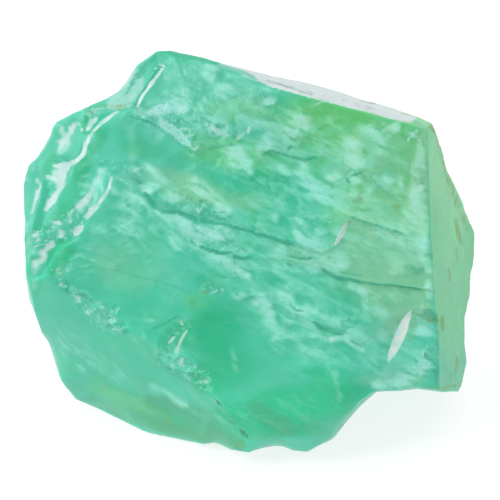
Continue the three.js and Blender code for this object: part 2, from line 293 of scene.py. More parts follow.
def alongPath(q, path):
    # distance from each point to a path, which side it is on (1 below or right of it), and the share along it
    path = np.asarray(path, dtype=float)
    best = np.full(len(q), np.inf)
    side = np.zeros(len(q))
    share = np.zeros(len(q))
    runs = np.linalg.norm(np.diff(path, axis=0), axis=1)
    reached = np.concatenate([[0], np.cumsum(runs)]) / runs.sum()
    for step in range(len(path) - 1):
        a, b = path[step], path[step + 1]
        along = b - a
        t = np.clip(((q - a) @ along) / (along @ along), 0, 1)
        gap = q - (a + t[:, None] * along)
        distance = np.hypot(gap[:, 0], gap[:, 1])
        nearer = distance < best
        best = np.where(nearer, distance, best)
        side = np.where(nearer, np.sign(along[0] * gap[:, 1] - along[1] * gap[:, 0]), side)
        share = np.where(nearer, reached[step] + t * (reached[step + 1] - reached[step]), share)
    return best, side, share


def strokes(q, marks, blunt=0.35):
    # Each mark is full inside its half width and fades over its soft border. It is thinner towards its ends,
    # down to the blunt share of its width. Marks that cross add up towards 1.
    total = np.zeros(len(q))
    for path, half, soft, strength in marks:
        distance, side, share = alongPath(q, path)
        taper = blunt + (1 - blunt) * np.clip(4 * share * (1 - share), 0, 1) ** (0.5 if blunt else 0.8)
        mask = strength * (1 - smooth(half * taper, half * taper + soft, distance))
        total = 1 - (1 - total) * (1 - np.clip(mask, 0, 1))
    return total


def patches(q, marks):
    # each mark is a soft oval: full in its middle, and faded where its turned ellipse ends
    total = np.zeros(len(q))
    for u, v, length, width, turn, strength in marks:
        c, s = math.cos(math.radians(turn)), math.sin(math.radians(turn))
        du, dv = q[:, 0] - u, v - q[:, 1]
        reach = np.hypot((du * c + dv * s) / length, (dv * c - du * s) / width)
        total = 1 - (1 - total) * (1 - strength * (1 - smooth(0.25, 1.0, reach)))
    return total


# Marks in and on the stone, placed on the sheet. A path is followed by its half width, soft border and
# strength. An oval has its place, half length, half width, turn in degrees and strength.
marks = {
    # whitish veils: fractures inside that let little light through
    "milkPaths": [
        ([(138, 111), (152, 117), (166, 124)], 3, 5, 0.5),
        ([(176, 117), (200, 119), (216, 120)], 2, 5, 0.35),
        ([(226, 149), (236, 158), (248, 172)], 6, 5, 0.75),
        ([(234, 151), (246, 152), (252, 168)], 4, 5, 0.4),
        ([(258, 155), (266, 146), (272, 136)], 4.5, 4, 0.8),
        ([(272, 142), (286, 141), (290, 134)], 4, 5, 0.25),
        ([(374, 130), (376, 141), (384, 149)], 2, 3, 0.85),
        ([(380, 142), (388, 133), (398, 125)], 4, 4, 0.8), ([(362, 131), (372, 127)], 6, 5, 0.8),
        ([(422, 150), (422, 162), (419, 176)], 3.4, 2.5, 0.9),
        ([(372, 157), (390, 158), (402, 163), (408, 168)], 1, 3, 0.4),
        ([(284, 168), (304, 182), (324, 196), (346, 208)], 4.5, 6, 0.68),
        ([(352, 214), (362, 217), (376, 222), (392, 228)], 1.8, 2.5, 0.7),
        ([(368, 229), (378, 231), (390, 236)], 2.4, 3, 0.75),
        ([(396, 233), (410, 238), (420, 246), (426, 258), (428, 268)], 2.5, 3.5, 0.85),
        ([(404, 240), (414, 245)], 3, 4, 0.5), ([(417, 190), (416, 208), (411, 222), (404, 232)], 6, 5, 0.8),
        ([(298, 226), (304, 238), (316, 245)], 6, 5, 0.95), ([(294, 244), (304, 246)], 4, 4, 0.6),
        ([(316, 247), (330, 258), (344, 264)], 5.5, 6, 0.85),
        ([(262, 226), (274, 228), (286, 233)], 2, 3, 0.45),
        ([(194, 184), (206, 191), (218, 199), (226, 210)], 4, 5, 0.95),
        ([(214, 212), (222, 214)], 1.5, 3, 0.5),
        ([(146, 165), (158, 174), (170, 185), (178, 193)], 2.6, 3.5, 0.85),
        ([(122, 180), (138, 185), (152, 190)], 3.5, 3.5, 0.65),
        ([(112, 192), (130, 197), (144, 202)], 2, 4, 0.5),
        ([(142, 202), (150, 210), (160, 215), (176, 218), (192, 222)], 1.6, 2.5, 0.85),
        ([(130, 200), (127, 212), (121, 228)], 4, 8, 0.45),
        ([(166, 222), (172, 233), (180, 247)], 2.6, 4, 0.8),
        ([(182, 222), (190, 234), (198, 243)], 4.5, 4.5, 0.9),
        ([(198, 229), (214, 232), (232, 236)], 7, 5, 0.95),
        ([(198, 248), (214, 257), (228, 262), (241, 268), (249, 276)], 2.8, 3.5, 0.95),
        ([(230, 250), (242, 252), (254, 254)], 2, 3, 0.5),
        ([(262, 259), (276, 261), (292, 262)], 3, 5, 0.45),
        ([(254, 302), (260, 298), (266, 308), (271, 319)], 3.6, 4, 0.9),
        ([(268, 322), (274, 334), (282, 346)], 3.6, 5, 0.75),
        ([(284, 290), (286, 306), (288, 320)], 4.5, 5, 0.75),
        ([(296, 313), (304, 323), (312, 333)], 4.5, 4, 0.85),
        ([(304, 308), (318, 315), (334, 324)], 1.5, 3, 0.6),
        ([(290, 330), (298, 342), (306, 356)], 3, 6, 0.55),
        ([(316, 335), (330, 338), (344, 338)], 3, 4, 0.8),
        ([(344, 339), (352, 345), (362, 351)], 2.2, 2.5, 0.85),
        ([(318, 350), (326, 358), (332, 366)], 5, 8, 0.35),
        ([(345, 330), (355, 338), (366, 343)], 2, 4, 0.5),
        ([(352, 285), (362, 288), (374, 290)], 2.4, 3.5, 0.65),
        ([(361, 290), (364, 300), (366, 308)], 2.5, 3, 0.65),
        ([(428, 280), (429, 296), (424, 306), (417, 314)], 2.5, 3, 0.8),
        ([(420, 320), (428, 331), (434, 340)], 4, 4, 0.6),
        ([(376, 385), (392, 381), (408, 378), (420, 370), (430, 360), (435, 350)], 3.6, 4, 0.85),
        ([(386, 352), (404, 345), (424, 354)], 2, 5, 0.4),
        ([(233, 345), (235, 360), (236, 372)], 1.2, 3, 0.45),
        ([(238, 372), (240, 390), (244, 402)], 1, 5, 0.2),
        ([(337, 374), (340, 386), (340, 399)], 1.5, 3, 0.5),
        ([(78, 299), (92, 310), (104, 319), (120, 330)], 4, 5, 0.55),
        ([(160, 358), (182, 367), (200, 378)], 4, 6, 0.35),
        ([(150, 384), (168, 393), (186, 404)], 1, 3.5, 0.6),
        ([(186, 404), (210, 418), (236, 430)], 1.5, 6, 0.4),
        ([(104, 172), (98, 186), (88, 204)], 4.5, 3, 0.8), ([(78, 206), (70, 216), (60, 224)], 3, 5, 0.2),
        ([(60, 342), (86, 356), (116, 372)], 5, 9, 0.35),
        ([(164, 61), (186, 61), (202, 66), (212, 77)], 2, 4, 0.6),
        ([(228, 80), (246, 80), (262, 81)], 1, 2, 0.6), ([(226, 88), (250, 88), (276, 91)], 1.5, 3, 0.5),
        ([(436, 135), (436, 200), (438, 260), (441, 330)], 2, 3, 0.5),
    ],
    "milkOvals": [
        (178, 98, 26, 19, 20, 0.75), (210, 77, 10, 7, 10, 0.75), (225, 92, 14, 13, -60, 0.65),
        (268, 101, 14, 9, 5, 0.85), (298, 124, 15, 18, -20, 0.95), (288, 136, 12, 12, 0, 0.3),
        (334, 118, 11, 8, 20, 0.6), (352, 149, 13, 15, 0, 1), (354, 164, 15, 13, 0, 0.9),
        (413, 137, 12, 8, 0, 0.5), (336, 176, 15, 7, 0, 0.8), (357, 181, 11, 8, 0, 0.85),
        (362, 195, 20, 10, 0, 0.3), (387, 179, 15, 10, 0, 0.95), (402, 182, 8, 9, 0, 0.75),
        (303, 166, 10, 6, 0, 0.6), (275, 173, 8, 8, 0, 0.3), (275, 217, 7, 9, 0, 0.65),
        (280, 250, 15, 7, -5, 0.75), (244, 268, 9, 8, -20, 0.75), (282, 270, 18, 9, -10, 0.5),
        (320, 268, 14, 8, -10, 0.55), (237, 296, 11, 8, 0, 0.95), (393, 297, 24, 9, 0, 0.75),
        (404, 332, 16, 12, 0, 0.5), (382, 334, 12, 14, 0, 0.7), (385, 310, 22, 10, 0, 0.4),
        (400, 238, 14, 10, 0, 0.5), (160, 110, 20, 8, 10, 1), (306, 232, 16, 8, -10, 0.7),
        (306, 270, 20, 9, -10, 0.6), (66, 142, 22, 11, 60, 0.6), (172, 197, 20, 9, 0, 0.95),
        (148, 188, 24, 9, 10, 0.85), (136, 169, 8, 6, 0, 0.6), (132, 216, 40, 26, 0, 0.5),
        (126, 238, 44, 18, -20, 0.35), (430, 290, 6, 7, 0, 0.8), (53, 228, 12, 7, 30, 0.3),
        (138, 338, 12, 10, 0, 0.45), (215, 288, 12, 5, -15, 0.25), (110, 262, 70, 32, 0, 0.28),
        (120, 375, 70, 24, -28, 0.15), (210, 255, 60, 26, -20, 0.25), (60, 320, 60, 30, -60, 0.2),
        (182, 110, 14, 9, 0, 0.8), (140, 111, 12, 6, 10, 0.6), (183, 131, 12, 6, 30, 0.5),
        (222, 130, 12, 8, 0, 0.35), (300, 112, 30, 9, -8, 0.45), (300, 130, 10, 9, 0, 0.4),
        (380, 131, 12, 8, 0, 0.7), (385, 152, 22, 8, 0, 0.5), (420, 152, 8, 16, 0, 0.45),
        (140, 171, 14, 8, 15, 0.6), (362, 172, 12, 7, 0, 0.5), (422, 172, 8, 14, 0, 0.5),
        (101, 190, 5, 12, 20, 0.8), (181, 191, 14, 8, 10, 0.6), (240, 192, 12, 7, 0, 0.3),
        (362, 192, 14, 8, 0, 0.4), (400, 191, 14, 8, 0, 0.5), (82, 211, 9, 7, 0, 0.6),
        (175, 211, 38, 9, 5, 0.5), (422, 214, 8, 14, 0, 0.5), (180, 110, 10, 7, 0, 0.5),
        (380, 131, 9, 7, 0, 0.5), (320, 228, 7, 7, 0, 0.6), (282, 250, 10, 6, 0, 0.6),
        (312, 270, 12, 6, 0, 0.6), (424, 248, 6, 14, 0, 0.6), (62, 150, 6, 8, 0, 0.6),
        (100, 230, 12, 9, 0, 0.6), (150, 231, 24, 8, 10, 0.35), (280, 240, 10, 12, 0, 0.45),
        (320, 231, 11, 8, 30, 0.9), (423, 240, 9, 20, 0, 0.65), (312, 271, 18, 7, -8, 0.55),
        (402, 270, 26, 8, 0, 0.4), (100, 290, 10, 7, 0, 0.4), (240, 290, 10, 8, 0, 0.5),
        (390, 290, 18, 7, 0, 0.4), (410, 312, 16, 8, 0, 0.45), (120, 331, 10, 6, 20, 0.6),
        (421, 331, 9, 9, 0, 0.9), (80, 370, 10, 8, -25, 0.6), (380, 372, 12, 8, 0, 0.4),
        (118, 190, 14, 7, 0, 0.35), (60, 150, 7, 8, 0, 0.6), (92, 112, 18, 5, -10, 0.6),
        (262, 90, 12, 6, 5, 0.4), (345, 196, 70, 22, -20, 0.5), (422, 225, 12, 60, 0, 0.6),
        (352, 150, 20, 24, 0, 0.5), (190, 190, 44, 12, -15, 0.4), (380, 255, 56, 26, -10, 0.5),
        (365, 322, 60, 24, -15, 0.35), (330, 140, 90, 34, 0, 0.3), (250, 122, 80, 30, -10, 0.35),
        (300, 290, 70, 34, -40, 0.2), (412, 225, 26, 60, 0, 0.4), (200, 80, 40, 20, -10, 0.4),
        (395, 375, 40, 14, 10, 0.5), (340, 360, 50, 14, -10, 0.3), (248, 96, 34, 12, -10, 0.4),
        (200, 160, 50, 20, 0, 0.3),
    ],
    # frosted bruises, speckled white; a few of the small ovals are painted glints
    "frostPaths": [
        ([(160, 120), (166, 126), (174, 131), (181, 138), (189, 146)], 3.4, 3, 0.95),
        ([(184, 139), (190, 135), (194, 130)], 2.5, 3, 0.6), ([(190, 147), (198, 149)], 2.4, 2.5, 0.75),
        ([(140, 113), (144, 117)], 2.5, 2, 0.9), ([(148, 112), (160, 110), (172, 109)], 3, 4, 0.9),
        ([(108, 107), (122, 107), (133, 104)], 1.2, 2.5, 0.7),
        ([(206, 125), (216, 130), (228, 135)], 3, 3.5, 0.8),
        ([(160, 107), (174, 105), (186, 109)], 3, 5, 0.6), ([(408, 141), (418, 130)], 1, 2, 0.8),
        ([(411, 132), (422, 143)], 1, 2, 0.8), ([(376, 386), (396, 380), (412, 377)], 2, 3, 0.5),
        ([(98, 307), (108, 312), (116, 308)], 1.5, 2, 0.5),
    ],
    "frostOvals": [
        (182, 130, 8, 5, 30, 0.6), (180, 111, 9, 6, 20, 0.8), (200, 209, 9, 4, 10, 0.6),
        (140, 111, 7, 4, 0, 0.5), (382, 130, 8, 5, 0, 0.6), (268, 101, 10, 6, -5, 1),
        (136, 169, 6, 5, 0, 0.7), (132, 219, 4, 4, 0, 0.5), (205, 229, 8, 4, 0, 0.75),
        (207, 238, 9, 6, 0, 0.65), (225, 246, 6, 4, 0, 0.5), (172, 200, 9, 4, 0, 0.6),
        (303, 167, 6, 4, 0, 0.45), (326, 177, 6, 3, 0, 0.7), (401, 182, 5, 6, 0, 0.65),
        (385, 178, 7, 5, 0, 0.4), (419, 188, 8, 5, 0, 0.85), (88, 312, 6, 5, 0, 0.85),
        (112, 320, 9, 7, -30, 0.9), (118, 329, 8, 4, 0, 0.8), (79, 299, 5, 3, -30, 0.8),
        (180, 364, 9, 6, -20, 0.8), (172, 367, 5, 3, 0, 0.7), (194, 374, 7, 4, -20, 0.5),
        (160, 358, 8, 4, 0, 0.45), (204, 382, 6, 4, 10, 0.8), (262, 302, 6, 5, -50, 0.6),
        (334, 338, 9, 4, 0, 0.7), (430, 290, 5, 5, 0, 0.8), (181, 112, 9, 5, 20, 0.6),
        (426, 352, 8, 8, 0, 0.3), (382, 124, 6, 3, 0, 0.6), (70, 215, 8, 8, 40, 0.4),
        (56, 228, 9, 7, 30, 0.6), (38, 237, 8, 6, 20, 0.6), (78, 229, 6, 5, 40, 0.5),
    ],
    # where the veils run all through the stone, more or less thickly
    "busyOvals": [
        (330, 190, 150, 110, -20, 1), (220, 120, 110, 50, -10, 0.8), (240, 250, 110, 60, -25, 0.8),
        (320, 310, 130, 70, -20, 0.8), (400, 360, 60, 40, 0, 0.9), (250, 400, 120, 60, 0, 0.3),
        (140, 230, 70, 50, -20, 0.35), (180, 350, 50, 40, -30, 0.4), (100, 360, 110, 60, -25, 0.2),
    ],
    # painted highlights: glints on bare breaks, painted near white
    "paintedGlintPaths": [
        ([(119, 112), (111, 117), (102, 123), (94, 131), (87, 140)], 1.1, 1.2, 0.9),
        ([(89, 137), (85, 145), (83, 153), (77, 160)], 2.1, 1.2, 1),
        ([(80, 158), (72, 163), (62, 165), (55, 166)], 1.8, 1.5, 0.95),
        ([(68, 165), (60, 172), (54, 180)], 4, 4, 0.7), ([(50, 176), (49, 181)], 3, 1.5, 0.95),
        ([(64, 172), (62, 182), (58, 192)], 3, 3.2, 0.85), ([(60, 188), (54, 198), (46, 210)], 3, 1.5, 1),
        ([(38, 180), (41, 187), (38, 196), (34, 207), (31, 214)], 1.1, 1.2, 1),
        ([(77, 123), (71, 131), (64, 143)], 1.4, 2.5, 0.75),
        ([(66, 134), (61, 142), (60, 150)], 2.4, 2.5, 0.75), ([(68, 138), (66, 150)], 2, 2.5, 0.6),
        ([(60, 133), (64, 125)], 1, 2, 0.6), ([(80, 125), (82, 133), (81, 142), (79, 148)], 0.5, 1, 0.8),
        ([(97, 119), (91, 125), (87, 131)], 1.7, 1.2, 0.95), ([(88, 116), (96, 112)], 1.4, 1.5, 0.5),
        ([(111, 177), (109, 187), (104, 196), (98, 205)], 1.3, 1.3, 1),
        ([(97, 206), (91, 211), (86, 218)], 2.6, 1.2, 1),
        ([(104, 168), (100, 174), (96, 184), (91, 194)], 0.5, 1.2, 0.7),
        ([(104, 168), (108, 172), (110, 178)], 0.5, 1.2, 0.7),
        ([(91, 195), (84, 203), (78, 208)], 2.2, 2.4, 0.8),
        ([(76, 207), (70, 216), (72, 222)], 0.8, 1.5, 0.6), ([(82, 226), (78, 230), (74, 234)], 3.2, 1.2, 1),
        ([(61, 231), (62, 237)], 2.2, 1.2, 0.95),
        ([(49, 230), (54, 223), (58, 221), (61, 226)], 0.8, 1.2, 0.8),
        ([(34, 236), (38, 232)], 1.9, 1.2, 0.9), ([(36, 241), (42, 238)], 0.8, 1, 0.7),
        ([(35, 247), (42, 243)], 0.6, 1, 0.6), ([(52, 243), (49, 248)], 3, 1.2, 1),
        ([(48, 248), (42, 257), (36, 265)], 3.4, 1.8, 0.85), ([(58, 274), (63, 268)], 2.4, 2, 0.6),
        ([(90, 110), (106, 108), (126, 108)], 0.9, 1.5, 0.5),
        ([(235, 141), (240, 138), (246, 133)], 0.6, 1.2, 0.9), ([(249, 133), (250, 127)], 1.5, 1.2, 1),
        ([(209, 127), (220, 131)], 1.5, 2, 0.5), ([(184, 143), (190, 146)], 1.3, 2, 0.5),
        ([(193, 211), (199, 211)], 1.2, 1.2, 0.55), ([(209, 217), (216, 217)], 1, 1.2, 0.45),
        ([(255, 231), (259, 231)], 1.2, 1.5, 0.6), ([(380, 122), (386, 124)], 0.9, 1.5, 0.55),
        ([(414, 189), (424, 186)], 1.6, 2.5, 0.6), ([(330, 338), (336, 339)], 1.2, 1.8, 0.6),
        ([(202, 383), (208, 380)], 2, 2, 0.45), ([(76, 297), (81, 301)], 1.6, 2, 0.55),
        ([(120, 307), (115, 314)], 0.6, 1.2, 0.8), ([(186, 331), (181, 341), (177, 350)], 0.8, 1.2, 0.95),
        ([(179, 347), (176, 352)], 1.6, 1.2, 0.9), ([(169, 343), (175, 337)], 0.9, 1.2, 0.85),
        ([(180, 321), (183, 326)], 0.9, 1.2, 0.65), ([(183, 359), (181, 364)], 0.8, 1.2, 0.8),
        ([(56, 282), (64, 287)], 0.6, 1.5, 0.6), ([(308, 106), (316, 105), (322, 103)], 0.5, 1.2, 0.6),
        ([(212, 293), (218, 291)], 0.8, 1.5, 0.6), ([(428, 288), (432, 290)], 1.2, 1.5, 0.45),
    ],
    # painted highlights: bright clean lines along the corner edges, not moved about
    "edgePaths": [
        ([(165, 65), (158, 76), (152, 83)], 0.9, 1, 0.9), ([(154, 81), (149, 87)], 1.5, 1.2, 1),
        ([(150, 86), (143, 95), (137, 106)], 1, 1, 0.95), ([(162, 62), (154, 71), (147, 80)], 0.4, 1, 0.5),
        ([(243, 78), (300, 94), (350, 107), (400, 119), (431, 129)], 0.5, 1.4, 0.9),
    ],
    # two long chips, pointed at both ends, with a painted highlight: painted near white
    "lensGlintPaths": [
        ([(335, 246), (341, 235), (347, 222)], 2, 1, 1),
        ([(388, 361), (394, 348), (400, 334), (406, 321), (411, 311)], 4.5, 1, 1),
    ],
    # greener, darker lines: painted shade along the walls of steps, and fractures seen edge on
    "linePaths": [
        ([(128, 392), (160, 404), (196, 418), (232, 436)], 0.7, 3.5, 0.55),
        ([(50, 160), (62, 163), (72, 161), (78, 156)], 0.8, 1.5, 0.9),
        ([(82, 146), (80, 152), (77, 157)], 0.8, 1.5, 0.8),
        ([(34, 240), (42, 241), (50, 238)], 0.8, 1.2, 0.9),
        ([(45, 184), (45, 198), (41, 212), (36, 232)], 3.6, 3, 1), ([(36, 250), (44, 248)], 0.8, 1.2, 0.7),
        ([(161, 66), (152, 78), (144, 88), (138, 98), (132, 107)], 1, 1.2, 0.9),
        ([(156, 57), (146, 68), (139, 78)], 1.5, 2.5, 0.8),
        ([(158, 53), (146, 63), (136, 77), (126, 92)], 1, 1.5, 0.7),
        ([(131, 84), (139, 73), (148, 63)], 1.4, 3, 0.6), ([(116, 100), (126, 93), (134, 84)], 0.6, 2, 0.5),
        ([(128, 117), (140, 120), (152, 124), (160, 127)], 0.8, 1.2, 0.8),
        ([(194, 142), (206, 146), (222, 146), (244, 144)], 0.6, 2, 0.55),
        ([(262, 156), (270, 152), (280, 154), (288, 157), (296, 158)], 1, 2.2, 0.75),
        ([(288, 151), (291, 145)], 1.6, 1.8, 0.7), ([(296, 159), (306, 160), (316, 157)], 1.4, 2.4, 0.75),
        ([(352, 176), (358, 174), (363, 172)], 1, 1.4, 0.75), ([(347, 178), (350, 184)], 1.2, 1.8, 0.8),
        ([(356, 158), (362, 162)], 0.8, 1.4, 0.6),
        ([(370, 178), (378, 186), (390, 194), (402, 197)], 1, 2.8, 0.55),
        ([(420, 182), (424, 183)], 1.2, 1.5, 0.6),
        ([(350, 217), (362, 222), (376, 226), (392, 231), (402, 234)], 1.2, 2.2, 0.85),
        ([(118, 177), (134, 179), (142, 182), (156, 188)], 0.8, 2, 0.55),
        ([(144, 192), (150, 200), (156, 207), (164, 211)], 1.8, 2.4, 0.75),
        ([(162, 211), (180, 213), (196, 218), (210, 221), (224, 224)], 1.5, 2.2, 0.85),
        ([(218, 222), (236, 227), (250, 231), (262, 235), (276, 239), (292, 244)], 1.4, 2.2, 0.82),
        ([(286, 241), (302, 248), (320, 254)], 1.2, 2.4, 0.65),
        ([(202, 208), (214, 211), (226, 212)], 0.8, 1.4, 0.8),
        ([(200, 245), (210, 250), (222, 253), (231, 252)], 1.5, 1.8, 1),
        ([(234, 257), (244, 259), (251, 257)], 1.3, 1.8, 1),
        ([(290, 256), (302, 259), (312, 258)], 1, 1.5, 0.9), ([(286, 264), (291, 266)], 1.2, 2, 0.7),
        ([(320, 266), (326, 273), (338, 278), (358, 281)], 1.4, 2.6, 0.8),
        ([(340, 272), (362, 276)], 0.8, 2, 0.6),
        ([(354, 281), (376, 284), (398, 287), (420, 290)], 1, 2, 0.8),
        ([(407, 266), (416, 272), (424, 269)], 3, 3, 0.6),
        ([(290, 305), (296, 310), (303, 311)], 1.3, 1.6, 0.8),
        ([(313, 322), (322, 329), (334, 333), (344, 334)], 1.3, 1.8, 0.8),
        ([(350, 340), (362, 347)], 0.9, 1.4, 0.8), ([(245, 300), (256, 299)], 2, 3, 0.6),
        ([(154, 328), (162, 325), (172, 320), (178, 316)], 0.9, 1.8, 0.8),
        ([(156, 332), (160, 340), (158, 350)], 0.7, 1.8, 0.6), ([(171, 338), (178, 330)], 0.8, 1.4, 0.8),
        ([(164, 346), (170, 353), (176, 356)], 0.8, 1.8, 0.7),
        ([(80, 265), (110, 270), (142, 277), (192, 292)], 0.5, 1.8, 0.6),
        ([(97, 305), (108, 303)], 0.7, 1.4, 0.7), ([(117, 304), (112, 310)], 0.8, 1.4, 0.7),
        ([(62, 276), (70, 284)], 0.7, 2, 0.6), ([(300, 426), (306, 424)], 1.8, 2, 0.8),
        ([(288, 430), (293, 429)], 1.8, 2, 0.8), ([(425, 352), (428, 360)], 1, 1.8, 0.8),
        ([(412, 357), (418, 362)], 0.7, 1.8, 0.6),
    ],
    # painted shade: the rim where the stone turns away at the top, painted deep green
    "rimShadePaths": [([(158, 52), (186, 56), (206, 61), (216, 65)], 4, 3, 1)],
    # a thin seam down the corner to the side face
    "seamPaths": [([(427, 134), (428, 180), (430, 225), (432, 260)], 0.7, 1.4, 0.6)],
    # quiet parts, without streaks
    "calmPaths": [
        ([(50, 300), (74, 345), (125, 385), (190, 420)], 33, 8, 1), ([(60, 255), (62, 262)], 12, 10, 0.8),
        ([(120, 130), (140, 150), (180, 165)], 12, 14, 0.8),
        ([(215, 330), (235, 375), (262, 400)], 22, 14, 0.8), ([(110, 290), (150, 300)], 18, 20, 0.8),
        ([(90, 175), (72, 205)], 6, 8, 0.7), ([(160, 75), (152, 95)], 8, 8, 0.6),
        ([(350, 300), (385, 250)], 12, 14, 0.5),
    ],
    # clear green depths
    "deepPaths": [
        ([(112, 114), (103, 119), (97, 127), (86, 134)], 2.6, 2.2, 1),
        ([(87, 114), (84, 124), (83, 134)], 2.2, 2.2, 1),
        ([(44, 182), (45, 196), (41, 212), (36, 232)], 3.2, 2.5, 1),
        ([(54, 154), (48, 166), (44, 178)], 3, 4, 0.7), ([(72, 204), (62, 214), (54, 219)], 3, 3, 0.8),
        ([(66, 242), (60, 254), (52, 270)], 8, 6, 1),
        ([(88, 150), (80, 170), (72, 192), (64, 208)], 6, 8, 0.7),
    ],
    "deepOvals": [
        (42, 210, 8, 14, 0, 0.9), (42, 230, 8, 10, 0, 0.9), (60, 252, 8, 12, 0, 0.8),
        (60, 270, 9, 8, 0, 0.5), (256, 218, 16, 20, 0, 0.65), (240, 250, 8, 7, 0, 0.5),
        (208, 280, 24, 16, -10, 0.6), (175, 338, 24, 18, 20, 0.75), (206, 380, 20, 20, 0, 1),
        (320, 372, 34, 9, 0, 0.6), (180, 325, 20, 10, 0, 0.4), (260, 232, 12, 8, 0, 0.4),
        (282, 418, 24, 14, 0, 0.9), (64, 252, 30, 16, 55, 0.8), (268, 178, 34, 36, 30, 0.6),
        (262, 208, 36, 20, -20, 0.5), (320, 400, 80, 36, 10, 0.8), (280, 405, 50, 26, 0, 1),
        (215, 330, 50, 44, 30, 0.7), (128, 132, 26, 40, 20, 0.5), (150, 150, 40, 14, -10, 0.5),
        (280, 120, 26, 14, 0, 0.3), (345, 112, 46, 8, -15, 0.5), (345, 290, 40, 12, -8, 0.4),
        (380, 163, 34, 12, 0, 0.35), (415, 277, 12, 14, 0, 0.6), (250, 248, 16, 10, 0, 0.5),
        (235, 432, 60, 10, -5, 0.5), (300, 430, 40, 12, 0, 0.6), (100, 140, 24, 10, 60, 0.7),
        (152, 78, 10, 24, -25, 0.3), (225, 370, 50, 36, 0, 0.6), (270, 330, 30, 60, 20, 0.3),
        (60, 215, 26, 12, 40, 0.4), (250, 250, 30, 12, -10, 0.4), (160, 420, 80, 18, -18, 0.85),
        (255, 420, 70, 26, -5, 1), (55, 140, 12, 30, -30, 0.4),
    ],
    # yellow-green, towards the upper right
    "leafOvals": [
        (345, 126, 110, 44, -12, 1), (330, 160, 70, 40, 0, 0.5), (235, 155, 80, 26, -5, 0.6),
        (385, 205, 80, 55, 0, 0.85), (415, 160, 40, 70, 0, 0.7), (240, 110, 50, 20, 0, 0.45),
        (400, 285, 60, 44, 0, 0.55), (180, 128, 30, 10, -20, 0.3), (197, 300, 26, 18, 0, 0.4),
        (130, 402, 70, 18, -22, 0.35), (215, 195, 70, 20, -10, 0.35), (345, 250, 40, 60, 20, 0.35),
    ],
    # greyer green of the right half, and paler dull parts
    "sageOvals": [
        (385, 250, 80, 90, -10, 0.9), (375, 160, 75, 56, 0, 0.55), (422, 200, 13, 120, 0, 0.9),
        (180, 184, 62, 24, -15, 0.75), (400, 300, 52, 52, 0, 0.85), (240, 112, 70, 22, -8, 0.3),
        (130, 265, 70, 46, -10, 0.42), (230, 200, 60, 16, -10, 0.6), (305, 256, 60, 18, -15, 0.7),
        (395, 380, 50, 14, 0, 0.8), (400, 330, 24, 16, 0, 0.9), (404, 245, 20, 30, 0, 0.8),
        (340, 336, 60, 14, -10, 0.4), (290, 135, 40, 26, 0, 0.4),
    ],
    # lemon green of the side face's upper half, and of the tip above it
    "lemonOvals": [(458, 214, 12, 34, 0, 0.9), (444, 160, 26, 76, 0, 0.95), (450, 250, 20, 60, 0, 0.35)],
    "capPaths": [([(404, 110), (418, 116), (432, 124)], 2, 6, 0.65)],
    # without gloss, where a worn corner would flash
    "dullPaths": [
        ([(45, 184), (45, 198), (41, 212), (36, 232)], 5, 3, 1),
        ([(258, 410), (280, 422), (304, 430)], 10, 8, 0.8),
        ([(104, 118), (114, 140), (112, 160), (98, 178)], 12, 8, 1),
        ([(62, 240), (54, 260), (38, 280)], 5, 4, 1), ([(112, 328), (146, 325)], 4, 4, 1),
        ([(176, 146), (186, 149)], 4, 4, 1), ([(238, 148), (256, 152)], 5, 4, 1),
        ([(56, 190), (68, 200), (60, 216)], 5, 4, 0.8), ([(225, 100), (232, 116)], 5, 4, 0.8),
    ],
    # darker olive along the lower edge and over the belly, and at a few spots on the right and on the
    # shoulder
    "olivePaths": [
        ([(72, 345), (120, 378), (170, 405)], 12, 14, 0.36),
        ([(150, 400), (185, 412), (215, 428)], 6, 10, 0.6),
        ([(92, 402), (120, 414), (160, 428), (200, 438), (240, 445)], 3, 13, 0.9),
        ([(424, 306), (430, 314), (438, 322)], 3, 4, 0.6),
        ([(408, 268), (416, 273), (424, 270)], 2.5, 4, 0.7),
        ([(282, 434), (306, 428), (326, 420)], 2, 5, 0.4),
        ([(252, 406), (268, 416), (290, 430)], 6, 9, 0.65), ([(50, 157), (60, 158), (74, 152)], 3, 3, 0.35),
    ],
    # painted light: a pale band along the left outline and on the knob's side facet, where the thin edge lets
    # light through
    "thinEdgeLightPaths": [
        ([(112, 103), (126, 95), (134, 84), (138, 74)], 7, 4, 0.9),
        ([(58, 118), (47, 136), (34, 158), (27, 180)], 1.5, 2, 0.5),
        ([(27, 222), (30, 250), (36, 288)], 2, 2.5, 0.4),
    ],
    # pale straw green of the side face
    "strawPaths": [
        ([(435, 130), (440, 180), (446, 250), (448, 310)], 12, 3, 1),
        ([(84, 384), (120, 402), (160, 416)], 5, 12, 0.3), ([(112, 104), (128, 98), (140, 80)], 5, 8, 0.3),
        ([(27, 235), (30, 262), (35, 290)], 2.5, 3, 0.4),
    ],
    # rusty stains
    "ochrePaths": [
        ([(455, 219), (457, 232), (460, 243)], 0.7, 2.6, 0.95), ([(455, 250), (457, 262)], 0.4, 2.4, 0.7),
        ([(449, 268), (449, 281)], 0.4, 2.2, 0.75), ([(442, 317), (443, 330)], 0.8, 2.4, 0.95),
        ([(412, 313), (424, 318), (430, 321)], 0.9, 1.8, 0.8), ([(429, 321), (438, 321)], 1.6, 1.6, 1),
        ([(424, 305), (430, 310)], 1.5, 2.5, 0.6), ([(457, 358), (456, 370)], 0.8, 2.4, 0.95),
        ([(420, 386), (440, 389), (456, 385)], 0.8, 2, 0.7),
        ([(403, 112), (418, 116), (430, 122), (434, 131)], 2.2, 3, 0.75),
        ([(104, 106), (118, 107), (130, 104)], 1.5, 3, 0.55),
        ([(435, 130), (440, 146), (448, 178), (460, 212), (467, 230)], 1.2, 3.5, 0.6),
    ],
    "ochreOvals": [
        (169, 422, 12, 6, -40, 0.5), (72, 368, 12, 6, -30, 0.4), (99, 388, 12, 5, 0, 0.4),
